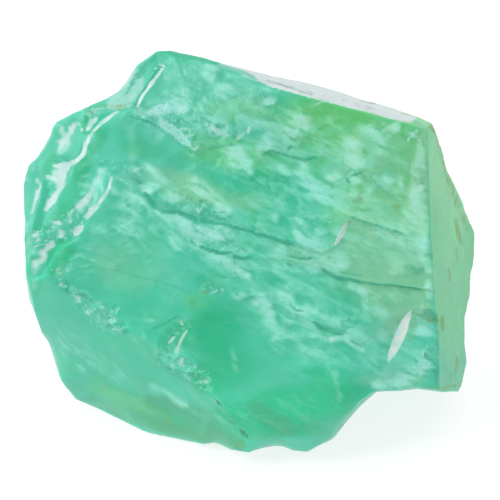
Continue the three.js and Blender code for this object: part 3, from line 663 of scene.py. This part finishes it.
        (396, 207, 10, 7, 0, 0.4), (358, 200, 9, 8, 0, 0.35), (192, 303, 6, 6, 0, 0.5),
        (206, 292, 5, 4, 0, 0.4), (399, 322, 2.5, 2, 0, 0.8), (369, 335, 3, 6, 0, 0.4),
        (466, 330, 6, 40, 0, 0.3), (240, 445, 26, 5, 0, 0.4),
    ],
    # dark grit caught in the lower edge
    "gritPaths": [
        ([(217, 401), (224, 408)], 0.4, 2, 0.7), ([(229, 421), (234, 423)], 0.4, 1.6, 0.7),
        ([(241, 430), (247, 437)], 0.8, 2.5, 0.75), ([(224, 408), (238, 424)], 0.2, 1.4, 0.5),
    ],
    # painted reflection: the top face's lilac sheen, the sky seen at a grazing angle painted in, and the
    # smudges on it
    "lilacReflectionPaths": [
        ([(221, 63), (237, 68), (250, 72), (264, 77)], 2.2, 2.5, 0.85),
        ([(258, 78), (276, 82), (300, 88), (345, 99), (385, 111), (412, 118)], 5, 4, 1),
    ],
    "smudgePaths": [
        ([(288, 86), (310, 92)], 1, 2.2, 0.6), ([(350, 104), (374, 110)], 0.8, 2.2, 0.6),
        ([(268, 81), (282, 85), (294, 89)], 0.8, 1.8, 0.9), ([(300, 91), (312, 94)], 0.8, 1.8, 0.8),
        ([(322, 95), (330, 98)], 0.8, 1.6, 0.7), ([(362, 100), (368, 102), (374, 104)], 1, 1.6, 1),
        ([(342, 100), (348, 101)], 0.7, 1.6, 0.7),
    ],
    # how far noise moves a mark about, the noise's size in millimetres and its seed
    "looseDrift": (4.5, 3.4, 51),
    "tightDrift": (1.8, 2.4, 55),
    # veils are drawn narrower and softer than their paths say
    "veilWidth": 0.7,
    "veilBorder": 2,
    # how much of each the side face, the far sides and the top face get
    "sideBusy": 0.5,
    "sideCalm": 0.45,
    "farBusy": 0.8,
    "farMilk": 0.65,
    "farBusySize": (9, 6, 9),
    "farMilkSize": (5, 2.6, 5),
    "topOchre": 0.8,
    "topSmudges": 0.8,
}

relief = {
    # steps: a path, the height of the drop below it, and how far the drop takes to fade away (sheet steps)
    "steps": [
        ([(258, 158), (270, 151), (290, 152), (305, 160), (320, 157)], 0.30, 12),
        ([(328, 156), (344, 168), (353, 174), (363, 171), (372, 182), (388, 192), (404, 204), (416, 207)],
         0.28, 16),
        ([(140, 117), (155, 124), (168, 129)], 0.25, 10),
        ([(192, 144), (208, 148), (226, 145), (245, 140)], 0.25, 12),
        ([(112, 175), (128, 177), (142, 182), (156, 194)], 0.30, 16),
        ([(204, 245), (220, 253), (234, 254), (247, 260), (262, 262)], 0.30, 14),
        ([(345, 340), (362, 349), (380, 353)], 0.22, 10),
        ([(300, 110), (322, 113), (337, 111)], 0.20, 10),
        ([(378, 282), (400, 286), (424, 291)], 0.25, 12),
        ([(230, 296), (250, 301), (268, 312)], 0.20, 10),
    ],
    # crumbly runs: a path, half width, soft border and strength
    "crumbs": [
        ([(138, 108), (155, 117), (172, 125), (186, 137), (196, 149)], 6, 7, 1.0),
        ([(200, 121), (216, 128), (234, 134)], 5, 6, 0.8),
        ([(104, 166), (120, 170), (142, 168)], 4, 5, 0.9),
        ([(92, 196), (74, 222), (60, 232), (34, 240)], 8, 7, 1.0),
        ([(76, 296), (92, 309), (105, 319), (122, 330)], 7, 7, 1.0),
        ([(168, 350), (178, 334), (186, 320)], 6, 6, 0.5),
        ([(162, 358), (184, 368), (208, 384)], 7, 7, 1.0),
        ([(56, 268), (66, 290)], 4, 4, 0.9),
        ([(172, 200), (200, 208), (222, 214)], 6, 7, 0.8),
        ([(186, 232), (212, 236), (236, 246)], 9, 8, 0.9),
        ([(225, 262), (245, 274)], 6, 7, 0.7),
        ([(240, 404), (262, 416), (284, 430)], 8, 10, 0.1),
        ([(378, 386), (404, 381), (424, 371), (434, 352)], 6, 6, 0.9),
        ([(206, 286), (224, 288)], 4, 5, 0.8),
        ([(256, 100), (272, 103)], 6, 6, 0.6),
        ([(405, 137), (424, 138), (422, 190)], 5, 6, 0.6),
        ([(255, 292), (268, 314)], 6, 6, 0.6),
        ([(296, 254), (320, 262), (340, 266)], 5, 7, 0.5),
        ([(412, 310), (428, 320), (436, 330)], 5, 6, 0.7),
    ],
    # chips: a path, half width, and how steeply the floor rises to the right of the path
    "chips": [
        ([(388, 361), (394, 348), (400, 334), (406, 321), (411, 311)], 4.6, 0.10),
        ([(334, 246), (341, 235), (348, 221)], 1.8, 0.14),
        ([(85, 220), (97, 208), (106, 194), (111, 177)], 1.8, 0.36),
        ([(76, 161), (83, 151), (86, 142), (94, 131)], 1.8, 0.30),
        ([(176, 353), (181, 342), (186, 331)], 1.4, 0.36),
        ([(46, 211), (57, 195), (64, 176)], 3.6, 0.18),
        ([(35, 267), (44, 256), (53, 242)], 4.0, 0.20),
    ],
    # the inner edge of the rippled shoulder
    "shoulder": [(134, 100), (114, 112), (97, 127), (85, 143), (76, 162), (66, 190), (54, 222), (52, 300)],
    # the outline of the left shoulder pressed in, and the top edge of the cleavage face drawn up
    "pressed": [([(48, 137), (42, 147), (37, 156)], 2, 12, 0.5)],
    "lifted": [
        ([(190, 63), (212, 70), (240, 78)], 1, 14, 0.34),
        ([(202, 67), (225, 74), (256, 83)], 1, 16, 0.28),
    ],
    "liftedAt": 200,                    # how far across the depth of that edge is read
    "liftedDepth": (14, 4),             # how far behind it the drawing up starts, and where it is full
    # heights in millimetres, each with the size of its noise along, across and through the stone
    "crumbHeight": 0.30,
    "crumbSize": (1.5, 1.1, 1.5),
    "terraces": 0.18,                   # fine cleavage terraces
    "terraceSize": (20, 6, 40),
    "terraceLevels": 5,
    "cleavageRun": (0.966, 0.259),      # the way that the terraces run, along the top edge
    "wobble": 0.9,                      # how far their edges wander
    "wobbleSize": (9, 9, 30),
    "swell": 0.10,                      # slow waves
    "swellSize": (7, 7, 7),
    "dimples": 0.35,                    # share of the swell in smaller waves
    "dimpleSize": (2.2, 2.2, 2.2),
    "ripples": 0.22,                    # shell-like ripples on the left shoulder
    "rippleSize": (1.8, 3.2, 3.0),
    "streaks": 0.05,                    # upright streaks of the lower face
    "streakSize": (1.3, 14, 14),
    "farSwell": 0.16,                   # waves and terraces of the far sides
    "farSwellSize": (4, 4, 4),
    "farTerraces": 0.5,
    "farTerraceSize": (14, 4, 9),
    "farTerraceLevels": 4,
    "chipStep": 0.128,                  # millimetres for one step of the sheet where the chips lie
    # places where a hard corner of the solid is worn away
    "wornMore": [
        ([(109, 126), (116, 145), (112, 162)], 14, 10, 1.0),
        ([(161, 62), (167, 80), (166, 100)], 8, 8, 1.0),
        ([(118, 232), (132, 216), (148, 198)], 8, 8, 1.0),
    ],
    "worn": [
        ([(86, 158), (78, 180), (68, 200), (60, 212)], 5, 6, 0.8),
        ([(242, 290), (210, 332)], 6, 10, 1.0),
        ([(183, 238), (168, 288)], 5, 9, 1.0),
        ([(102, 336), (124, 368)], 5, 9, 1.0),
        ([(46, 348), (62, 360), (88, 373), (110, 384), (150, 402), (200, 419), (240, 434)], 13, 12, 1.0),
        ([(246, 436), (280, 430), (318, 424), (350, 412)], 9, 12, 1.0),
        ([(372, 352), (388, 332), (402, 318), (412, 308)], 12, 8, 1.0),
        ([(168, 352), (176, 340), (184, 328)], 9, 6, 1.0),
        ([(113, 118), (118, 138), (116, 158), (107, 172)], 11, 10, 1.0),
    ],
    "wornRounds": 60,
    "wornMoreRounds": 180,
}


def steppedDown(q, path, height, run):
    # a sharp drop just past the path, which climbs back as exp(-distance / run) and fades at the path's ends
    distance, side, share = alongPath(q, path)
    signed = side * distance
    drop = smooth(-1.0, 1.2, signed) * np.exp(-np.clip(signed, 0, None) / run)
    ends = smooth(0, 0.35, share) * smooth(0, 0.35, 1 - share) * (distance < 6 * run)
    return -height * drop * ends


def chippedOut(q, path, half, slope):
    # a flat floor that tips from one side of the path to the other, inside a lens that narrows at both ends
    distance, side, share = alongPath(q, path)
    signed = side * distance
    ends = np.sqrt(np.clip(6 * share * (1 - share), 0, 1))
    floor = slope * (signed - half) * ends * relief["chipStep"]
    return np.where(np.abs(signed) < half * (0.3 + 0.7 * ends), floor, 0)


def terraced(field, steps):
    # a smooth field turned into flat levels with short ramps between them
    level = field * steps
    whole = np.floor(level)
    return (whole + smooth(0.38, 0.62, level - whole)) / steps


def raised(p, n, sheet):
    # heights to add along the normal, in millimetres: steps, chips, ripples, terraces, waves and crumbs
    facing = smooth(0.15, 0.5, n[:, 2])       # 1 on what faces the front
    fresh = smooth(0.9, 0.99, n[:, 2])        # 1 on the large cleavage face and its neighbours
    far = 1 - smooth(-0.2, 0.2, n[:, 2])      # 1 on what faces away
    height = np.zeros(len(p))
    for path, drop, run in relief["steps"]:
        height += steppedDown(sheet, path, drop, run)
    for path, half, slope in relief["chips"]:
        height += chippedOut(sheet, path, half, slope)
    height *= facing
    across, down = sheet[:, 0], sheet[:, 1]
    distance, side, share = alongPath(sheet, relief["shoulder"])
    shoulder = smooth(0, 7, side * distance) * smooth(285, 250, down) * facing
    height += relief["ripples"] * shoulder * layered(p + 5, relief["rippleSize"], 3, 61)
    # terraces are long the way the cleavage runs, and short across it
    c, s = relief["cleavageRun"]
    along = np.column_stack([p[:, 0] * c - p[:, 1] * s, p[:, 0] * s + p[:, 1] * c, p[:, 2]])
    wobble = relief["wobble"] * layered(p, relief["wobbleSize"], 3, 41)[:, None]
    field = layered(along + wobble, relief["terraceSize"], 4, 7)
    height += relief["terraces"] * fresh * 2 * terraced(field, relief["terraceLevels"])
    height += relief["swell"] * layered(p, relief["swellSize"], 2, 3)
    height += relief["dimples"] * relief["swell"] * layered(p, relief["dimpleSize"], 2, 5)
    lower = smooth(300, 345, down) * smooth(215, 245, across) * smooth(385, 350, across) * facing
    height += relief["streaks"] * lower * layered(p, relief["streakSize"], 3, 11)
    crumbs = strokes(sheet, relief["crumbs"]) * facing
    pitted = np.abs(layered(p + 3, relief["crumbSize"], 3, 23))
    height -= relief["crumbHeight"] * crumbs * (0.2 + 1.6 * pitted)
    height += relief["farSwell"] * far * layered(p, relief["farSwellSize"], 4, 31)
    field = layered(along + 0.8 * wobble, relief["farTerraceSize"], 3, 37)
    height += relief["farTerraces"] * far * terraced(field, relief["farTerraceLevels"])
    return height


def wornDown(p, edges, paths, rounds):
    # corners along the paths melt towards the mean of their neighbours, on the front half of the stone only
    mask = strokes(sheetOf(p), paths) * (p[:, 2] > -6)
    for _ in range(rounds):
        p = p + (neighbourMean(p, edges) - p) * mask[:, None]
    return p


print("stone: relief and marks")
shape = wornDown(shape, edges, relief["worn"], relief["wornRounds"])
shape = wornDown(shape, edges, relief["wornMore"], relief["wornMoreRounds"])
normals = normalsOf(shape, quads, triangles)
sheet = sheetOf(shape)
resting = cast[:, 2] < stone["restingBelow"]
height = raised(shape, normals, sheet) * ~resting
height = height - strokes(sheet, relief["pressed"]) * smooth(-0.5, -0.1, normals[:, 2])
shape = shape + normals * height[:, None]
rimDepth = np.max(shape[np.abs(sheet[:, 0] - relief["liftedAt"]) < 4, 2])
starts, full = relief["liftedDepth"]
shape[:, 1] += strokes(sheet, relief["lifted"], 0) * smooth(rimDepth - starts, rimDepth - full, shape[:, 2])
placed = fromView(shape)
placed[:, 2] = np.where(resting, 0, np.maximum(placed[:, 2], 0))
placed = np.clip(placed, np.array(cadLow), np.array(cadHigh))

stoneMesh = meshFrom("calciteChunk", placed, quads, triangles)
stoneMesh.polygons.foreach_set("use_smooth", np.ones(len(stoneMesh.polygons), dtype=bool))
normals = normalsOf(toView(placed), quads, triangles)
facing = smooth(0.25, 0.5, normals[:, 2])
sideFace = smooth(0.75, 0.92, normals[:, 0])
behind = 1 - smooth(-0.1, 0.25, normals[:, 2])


def write(name, values):
    # one number between 0 and 1 for each point of the mesh, which the material reads by its name
    column = stoneMesh.attributes.new(name, "FLOAT", "POINT")
    column.data.foreach_set("value", np.clip(values, 0, 1).astype(np.float32))


def drifted(q, p, reach, size, seed):
    # places moved about by noise, so that no mark keeps a clean border
    across, down = layered(p, (size,) * 3, 3, seed), layered(p, (size,) * 3, 3, seed + 10)
    return q + reach * np.column_stack([across, down])


def both(q, paths, ovals):
    # paths and ovals of one kind together
    return 1 - (1 - strokes(q, paths)) * (1 - patches(q, ovals))


solid = toView(placed)
loose = drifted(sheet, solid, *marks["looseDrift"])
tight = drifted(sheet, solid, *marks["tightDrift"])
outer = smooth(-0.1, 0.1, normals[:, 2])         # 1 up to the outline
topFace = smooth(0.7, 0.9, normals[:, 1]) * smooth(-0.05, 0.15, normals[:, 2])
# on the far sides veils and steps come and go in slow patches
clouded = smooth(-0.15, 0.45, layered(solid, marks["farBusySize"], 3, 71)) * behind
farVeils = smooth(0.2, 0.6, layered(solid, marks["farMilkSize"], 3, 73)) * behind
veils = [(path, marks["veilWidth"] * half, marks["veilBorder"] * soft, strength)
         for path, half, soft, strength in marks["milkPaths"]]
write("milk", both(loose, veils, marks["milkOvals"]) * facing + marks["farMilk"] * farVeils)
busy = patches(loose, marks["busyOvals"]) * facing
write("busy", busy + marks["sideBusy"] * sideFace + marks["farBusy"] * clouded)
write("calm", np.maximum(strokes(sheet, marks["calmPaths"]) * facing, marks["sideCalm"] * sideFace))
for name in ("frost", "deep"):
    write(name, both(tight, marks[name + "Paths"], marks[name + "Ovals"]) * facing)
# line: painted shade of step walls, and fractures seen edge on; grit: dark grit
for name in ("line", "grit"):
    write(name, strokes(tight, marks[name + "Paths"]) * facing)
# edge: painted highlight lines along the corner edges
for name in ("edge", "seam"):
    write(name, strokes(sheet, marks[name + "Paths"]) * facing)
# painted highlight on the two long chips
write("lens", strokes(sheet, marks["lensGlintPaths"], 0) * facing)
write("dull", strokes(sheet, marks["dullPaths"]))
write("crumb", strokes(loose, relief["crumbs"]) * facing)
write("olive", strokes(loose, marks["olivePaths"]) * facing)
write("sage", patches(loose, marks["sageOvals"]) * facing)
write("leaf", patches(loose, marks["leafOvals"]) * smooth(-0.3, 0.2, normals[:, 2]))
# painted highlights of the glints on bare breaks
write("glare", strokes(tight, marks["paintedGlintPaths"]) * smooth(0.05, 0.3, normals[:, 2]))
# painted light along the thin left edge
write("cream", strokes(tight, marks["thinEdgeLightPaths"]) * outer)
# painted shade on the top rim
write("rim", strokes(tight, marks["rimShadePaths"]) * topFace)
write("lemon", patches(sheet, marks["lemonOvals"]) * sideFace + strokes(tight, marks["capPaths"]) * topFace)
patchy = np.clip(0.9 + 0.5 * layered(solid, (4, 8, 4), 3, 77), 0.4, 1)
sideStraw = sideFace * (1 - 0.5 * smooth(320, 380, sheet[:, 1]))
write("straw", np.maximum(strokes(tight, marks["strawPaths"]) * facing, sideStraw) * patchy)
stained = np.maximum(smooth(-0.05, 0.05, normals[:, 2]), marks["topOchre"] * topFace)
write("ochre", both(tight, marks["ochrePaths"], marks["ochreOvals"]) * stained)
front = smooth(-2, 6, solid[:, 2] + 2.5 * layered(solid, (3, 3, 3), 3, 75))    # ragged towards the back
# painted reflection: the lilac sheen of the grazing top face
write("lilac", strokes(tight, marks["lilacReflectionPaths"]) * topFace * (0.25 + 0.75 * front))
write("smudge", marks["topSmudges"] * strokes(tight, marks["smudgePaths"]) * topFace * front)

calcite = {
    # colours, as light reflected in red, green and blue
    "clear": (0.044, 0.60, 0.40, 1),
    "teal": (0.090, 0.65, 0.49, 1),
    "deep": (0.003, 0.54, 0.295, 1),
    "leaf": (0.150, 0.66, 0.215, 1),
    "straw": (0.25, 0.775, 0.40, 1),
    "lemon": (0.36, 0.90, 0.48, 1),
    "sage": (0.31, 0.66, 0.45, 1),
    # cream: the painted light colour of the thin left edge
    "cream": (0.46, 0.76, 0.76, 1),
    "olive": (0.05, 0.40, 0.20, 1),
    "milk": (0.36, 0.89, 0.77, 1),
    "warm": (0.47, 0.88, 0.57, 1),
    "frost": (0.54, 0.95, 0.92, 1),
    # glare: the colour of painted highlights
    "glare": (0.74, 0.87, 0.89, 1),
    # lens: the painted highlight colour of the two long chips
    "lens": (0.96, 0.98, 1.0, 1),
    # line: darker green, for painted shade at steps, and for fracture lines, the seam and grain
    "line": (0.020, 0.47, 0.32, 1),
    "ochre": (0.20, 0.33, 0.02, 1),
    "grit": (0.04, 0.08, 0.04, 1),
    # lilac: the painted reflection colour of the top face
    "lilac": (0.85, 0.86, 0.95, 1),
    "smudge": (0.10, 0.22, 0.26, 1),
    # the stone's body
    "transmission": 0.4,
    "ior": 1.55,
    "scatterRadius": (0.6, 0.7, 0.65),
    "scatterScale": 0.002,
    "absorb": (0.25, 0.85, 0.62, 1),
    "absorbDensity": 45,
    # gloss, and what spreads it or dulls it
    "roughness": 0.37,
    "roughnessSpread": 0.06,
    "strawRoughness": 0.35,
    "dullRoughness": 0.33,
    "veilRoughness": 0.1,
    # bumps finer than the mesh: their strength and depth, and how much each part of them gives
    "bumpStrength": 0.85,
    "bumpDepth": 0.0006,
    "middlingBump": 0.7,
    "crumbBump": 0.9,
    "milkBump": 0.4,
    "bareBump": 0.15,
    "stepBump": 0.25,
    "stepRows": 9,           # how many small steps the step noise is cut into
}

material = bpy.data.materials.new("calcite")
material.use_nodes = True
tree = material.node_tree
tree.nodes.clear()
output = tree.nodes.new("ShaderNodeOutputMaterial")
shader = tree.nodes.new("ShaderNodeBsdfPrincipled")
tree.links.new(shader.outputs["BSDF"], output.inputs["Surface"])
absorption = tree.nodes.new("ShaderNodeVolumeAbsorption")
absorption.inputs["Color"].default_value = calcite["absorb"]
absorption.inputs["Density"].default_value = calcite["absorbDensity"]
tree.links.new(absorption.outputs["Volume"], output.inputs["Volume"])
shader.inputs["Transmission Weight"].default_value = calcite["transmission"]
shader.inputs["IOR"].default_value = calcite["ior"]
shader.inputs["Subsurface Weight"].default_value = 1
shader.inputs["Subsurface Radius"].default_value = calcite["scatterRadius"]
shader.inputs["Subsurface Scale"].default_value = calcite["scatterScale"]
where = tree.nodes.new("ShaderNodeTexCoord")


def mark(name):
    # a mark that was written on the mesh
    node = tree.nodes.new("ShaderNodeAttribute")
    node.attribute_name = name
    return node.outputs["Fac"]


def cloud(scale, detail=4, rough=0.55, stretch=(1, 1, 1), turn=(0, 0, 0), warp=0.0):
    # layered noise in the part's own metres, stretched and turned by a Mapping node
    mapping = tree.nodes.new("ShaderNodeMapping")
    mapping.vector_type = "TEXTURE"
    mapping.inputs["Scale"].default_value = stretch
    mapping.inputs["Rotation"].default_value = [math.radians(a) for a in turn]
    tree.links.new(where.outputs["Object"], mapping.inputs["Vector"])
    node = tree.nodes.new("ShaderNodeTexNoise")
    node.inputs["Scale"].default_value = scale
    node.inputs["Detail"].default_value = detail
    node.inputs["Roughness"].default_value = rough
    node.inputs["Distortion"].default_value = warp
    tree.links.new(mapping.outputs["Vector"], node.inputs["Vector"])
    return node.outputs["Fac"]


def sums(kind, a, b=None, c=None):
    # one Math node of that kind, on numbers or on other nodes' values
    node = tree.nodes.new("ShaderNodeMath")
    node.operation = kind
    for socket, value in zip(node.inputs, (a, b, c)):
        if value is None:
            continue
        if isinstance(value, (int, float)):
            socket.default_value = value
        else:
            tree.links.new(value, socket)
    return node.outputs[0]


def times(a, b):
    return sums("MULTIPLY", a, b)


def ramp(value, low, high, top=1.0, bottom=0.0):
    # bottom up to low, top from high on, and a smooth step between them
    node = tree.nodes.new("ShaderNodeMapRange")
    node.interpolation_type = "SMOOTHSTEP"
    node.inputs["From Min"].default_value = low
    node.inputs["From Max"].default_value = high
    node.inputs["To Min"].default_value = bottom
    node.inputs["To Max"].default_value = top
    tree.links.new(value, node.inputs["Value"])
    return node.outputs["Result"]


def frayed(amount, grain, strength):
    # the mark plus centred noise, so that its border and body break up
    return sums("ADD", amount, sums("MULTIPLY_ADD", grain, strength, -0.5 * strength))


def kept(amount, name):
    # the same amount, but only inside its own mark
    return times(amount, ramp(mark(name), 0.0, 0.3))


def tinted(base, colour, amount):
    # the base mixed with another colour: base * (1 - amount) + colour * amount. A colour can be named.
    node = tree.nodes.new("ShaderNodeMix")
    node.data_type = "RGBA"
    tree.links.new(amount, node.inputs["Factor"])
    for socket, shade in (("A", base), ("B", colour)):
        if isinstance(shade, str):
            node.inputs[socket].default_value = calcite[shade]
        else:
            tree.links.new(shade, node.inputs[socket])
    return node.outputs["Result"]


def laid(base, name, grain, strength, low, high, top=1.0, colour=None, own=False):
    # a colour over the base where the mark of that name is, with a border broken up by the grain
    amount = ramp(frayed(mark(name), grain, strength), low, high, top)
    return tinted(base, colour or name, kept(amount, name) if own else amount)


broad = cloud(70, 3)
middling = cloud(230, 5, 0.6)
fine = cloud(700, 6, 0.65)
grain = cloud(2300, 3, 0.5)
wisps = cloud(480, 6, 0.6, (1.7, 1, 1), (0, 38, 0), 0.35)
streaks = cloud(950, 4, 0.55, (3.6, 1, 1), (0, 32, 0), 0.5)
levels = sums("FRACT", times(cloud(120, 4, 0.55, (2.2, 1, 1), (0, 18, 0), 0.4), calcite["stepRows"]))
lively = sums("MULTIPLY_ADD", mark("calm"), -0.9, 1)
busyOrMilky = sums("MULTIPLY_ADD", mark("busy"), 0.9, times(mark("milk"), 0.3))

# the colour zones of the stone
colour = tinted("clear", "teal", ramp(frayed(broad, middling, 0.5), 0.38, 0.68))
colour = laid(colour, "deep", middling, 1.0, 0.0, 0.9, 0.9)
colour = laid(colour, "leaf", middling, 0.8, 0.0, 1.0, 0.95)
colour = laid(colour, "straw", middling, 0.6, 0.1, 0.9, 0.95)
colour = laid(colour, "olive", middling, 0.8, 0.1, 1.0, 0.9)
colour = laid(colour, "lemon", middling, 0.6, 0.0, 1.0)
colour = laid(colour, "sage", middling, 0.9, 0.0, 1.0, 0.8)

# thin streaky haze all through the stone
haze = times(ramp(streaks, 0.42, 0.72, 0.55), sums("MULTIPLY_ADD", mark("busy"), 0.9, 0.08))
colour = tinted(colour, "milk", times(haze, lively))

# the veils: torn borders, bluish white, or warmer where the stone is yellow-green
torn = sums("MULTIPLY_ADD", wisps, 0.5, times(streaks, 0.5))
veil = times(ramp(frayed(mark("milk"), torn, 3.2), 0.05, 1.45), ramp(mark("milk"), -0.05, 0.7))
yellowish = sums("MULTIPLY_ADD", mark("sage"), 0.5, mark("leaf"))
colour = tinted(colour, tinted("milk", "warm", ramp(yellowish, 0.2, 1.1, 0.85)), veil)

# small cleavage steps, painted: a pale patch of painted light that fades away from each drop, and a dark line
# of painted shade at some of them
present = times(ramp(frayed(busyOrMilky, middling, 1.6), 0.3, 1.1), lively)
pale = times(ramp(levels, 0.05, 0.16), ramp(levels, 0.2, 0.95, 0.0, 0.45))
colour = tinted(colour, "milk", times(pale, present))
partly = times(present, ramp(middling, 0.46, 0.62))
colour = tinted(colour, "line", times(ramp(levels, 0.02, 0.22, 0.0, 0.35), partly))

# brighter cores in the veils, and clear gaps between their streaks
grained = sums("MULTIPLY_ADD", streaks, 0.6, times(fine, 0.4))
colour = laid(colour, "milk", grained, 3.0, 0.55, 1.6, 0.85, "frost")
colour = tinted(colour, "clear", times(ramp(streaks, 0.3, 0.48, 0.0, 0.55), times(mark("milk"), lively)))

# frosted bruises, and the marks on single faces
colour = laid(colour, "frost", grain, 2.6, 0.3, 1.2, 0.95, own=True)
colour = tinted(colour, "line", times(ramp(grain, 0.56, 0.66, 0.55), mark("frost")))
# painted reflection on the top face
colour = laid(colour, "lilac", torn, 2.6, 0.0, 1.0, 0.97, own=True)
# painted light along the thin left edge
colour = laid(colour, "cream", torn, 3.0, -0.1, 1.3, 0.9, own=True)
# painted shade on the top rim, in the deep colour
colour = laid(colour, "rim", fine, 0.8, 0.2, 0.9, 0.95, "deep")
colour = laid(colour, "smudge", fine, 2.2, 0.2, 1.1, 0.7, own=True)
# painted shade along step walls, and fractures seen edge on
colour = laid(colour, "line", fine, 1.0, 0.25, 0.95, 0.9)
colour = laid(colour, "seam", middling, 0.8, 0.2, 1.0, 0.7, "line")
colour = tinted(colour, "frost", times(ramp(grain, 0.55, 0.66, 0.5), mark("crumb")))

# painted highlights: glints on bare breaks, along the corner edges and on the two long chips
paintedGlint = kept(ramp(frayed(mark("glare"), fine, 1.1), 0.15, 0.95, 0.95), "glare")
colour = tinted(colour, "glare", times(paintedGlint, ramp(fine, 0.4, 0.55, 1.0, 0.75)))
# painted highlight along the corner edges
colour = laid(colour, "edge", grain, 0.7, 0.2, 0.7, 0.98, "glare")
# painted highlight on the two long chips, streaked with frost
colour = laid(colour, "lens", fine, 1.0, 0.15, 0.8, 0.97, own=True)
colour = tinted(colour, "frost", times(ramp(streaks, 0.45, 0.62, 0.6), mark("lens")))

# rusty stains and dark grit
rusty = sums("MULTIPLY_ADD", fine, 0.5, times(streaks, 0.5))
colour = laid(colour, "ochre", rusty, 3.6, 0.0, 1.5, 0.8, own=True)
colour = laid(colour, "grit", fine, 2.4, 0.35, 1.0, 0.85, own=True)
tree.links.new(colour, shader.inputs["Base Color"])

least = calcite["roughness"] - calcite["roughnessSpread"]
rough = sums("MULTIPLY_ADD", fine, 2 * calcite["roughnessSpread"], least)
rough = sums("ADD", rough, times(sums("ADD", mark("straw"), mark("rim")), calcite["strawRoughness"]))
rough = sums("ADD", rough, times(mark("dull"), calcite["dullRoughness"]))
rough = sums("ADD", rough, times(veil, calcite["veilRoughness"]))
tree.links.new(rough, shader.inputs["Roughness"])

bump = tree.nodes.new("ShaderNodeBump")
bump.inputs["Strength"].default_value = calcite["bumpStrength"]
bump.inputs["Distance"].default_value = calcite["bumpDepth"]
milky = sums("MULTIPLY_ADD", mark("milk"), calcite["milkBump"], calcite["bareBump"])
coarse = sums("ADD", times(mark("crumb"), calcite["crumbBump"]), milky)
height = times(sums("ADD", times(middling, calcite["middlingBump"]), times(fine, coarse)), lively)
height = sums("ADD", height, times(times(levels, present), calcite["stepBump"]))
tree.links.new(height, bump.inputs["Height"])
tree.links.new(bump.outputs["Normal"], shader.inputs["Normal"])
stoneMesh.materials.append(material)

chunk = bpy.data.objects.new("calcite_chunk", stoneMesh)
bpy.context.scene.collection.objects.link(chunk)
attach(chunk, "root")
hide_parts("raw_calcite")
print("stone: finished,", round(time.perf_counter() - started, 1), "s")

room = {
    "floorSide": 3.0,
    "floorColour": (0.25, 0.25, 0.25, 1),
    "floorGlow": 0.8,
    "floorRoughness": 0.9,
    "floorSheen": 0.2,
    "skyDark": 0.42,
    "skyBright": 1.15,
    "skyToward": (-0.28, 0.38, 0.88),      # the way that the sky is brightest
    "skyFade": (-0.2, 0.7),                # cosines of the angle to that way where it is dark, and bright
    "keySize": 0.2,
    "keyRadiance": 14,
    "keyPlace": (-0.35, -0.32, 0.44),
    "softSize": 0.5,
    "softRadiance": 0.8,
    "softPlace": (-0.8, 0.02, 0.36),
    "litPlace": (0, 0, 0.025),             # what both lamps face
    "lens": 200,
    "seenFrom": 0.01,                      # the camera sees from here to there, in metres
    "seenTo": 20,
}

half = room["floorSide"] / 2
corners = [(-half, -half, 0), (half, -half, 0), (half, half, 0), (-half, half, 0)]
floorMesh = bpy.data.meshes.new("floor")
floorMesh.from_pydata(corners, [], [(0, 1, 2, 3)])
floor = bpy.data.objects.new("floor", floorMesh)
bpy.context.scene.collection.objects.link(floor)
floorMaterial = bpy.data.materials.new("floor")
floorMaterial.use_nodes = True
floorShader = floorMaterial.node_tree.nodes["Principled BSDF"]
floorShader.inputs["Base Color"].default_value = room["floorColour"]
floorShader.inputs["Roughness"].default_value = room["floorRoughness"]
floorShader.inputs["Specular IOR Level"].default_value = room["floorSheen"]
floorShader.inputs["Emission Color"].default_value = (1, 1, 1, 1)
floorShader.inputs["Emission Strength"].default_value = room["floorGlow"]
floorMesh.materials.append(floorMaterial)

# the sky is brightest above and behind on the left, and darker towards the front and right
world = bpy.data.worlds.new("studio")
bpy.context.scene.world = world
world.use_nodes = True
sky = world.node_tree
heading = sky.nodes.new("ShaderNodeTexCoord")
toward = sky.nodes.new("ShaderNodeVectorMath")
toward.operation = "DOT_PRODUCT"
toward.inputs[1].default_value = Vector(room["skyToward"]).normalized()
sky.links.new(heading.outputs["Generated"], toward.inputs[0])
shade = sky.nodes.new("ShaderNodeMapRange")
shade.interpolation_type = "SMOOTHSTEP"
shade.inputs["From Min"].default_value, shade.inputs["From Max"].default_value = room["skyFade"]
shade.inputs["To Min"].default_value = room["skyDark"]
shade.inputs["To Max"].default_value = room["skyBright"]
sky.links.new(toward.outputs["Value"], shade.inputs["Value"])
sky.nodes["Background"].inputs["Color"].default_value = (1, 1, 1, 1)
sky.links.new(shade.outputs["Result"], sky.nodes["Background"].inputs["Strength"])


def aimed(thing, place, target):
    # a lamp or a camera set at a place and turned to face another
    thing.location = place
    thing.rotation_mode = "QUATERNION"
    thing.rotation_quaternion = (Vector(target) - Vector(place)).to_track_quat("-Z", "Y")


for name in ("key", "soft"):
    lamp = bpy.data.lights.new(name, "AREA")
    lamp.size = room[name + "Size"]
    lamp.energy = room[name + "Radiance"] * math.pi * lamp.size ** 2    # watts
    light = bpy.data.objects.new(name, lamp)
    bpy.context.scene.collection.objects.link(light)
    aimed(light, room[name + "Place"], room["litPlace"])

cameraData = bpy.data.cameras.new("camera")
cameraData.lens = room["lens"]
cameraData.clip_start = room["seenFrom"]
cameraData.clip_end = room["seenTo"]
camera = bpy.data.objects.new("camera", cameraData)
bpy.context.scene.collection.objects.link(camera)
looksAt = Vector([c / 1000 for c in view["origin"]])
lean = math.radians(view["leanBack"])
back = Vector((0, -math.cos(lean), math.sin(lean))) * view["distance"] / 1000
aimed(camera, looksAt + back, looksAt)
bpy.context.scene.camera = camera
bpy.context.scene.view_settings.view_transform = "Standard"
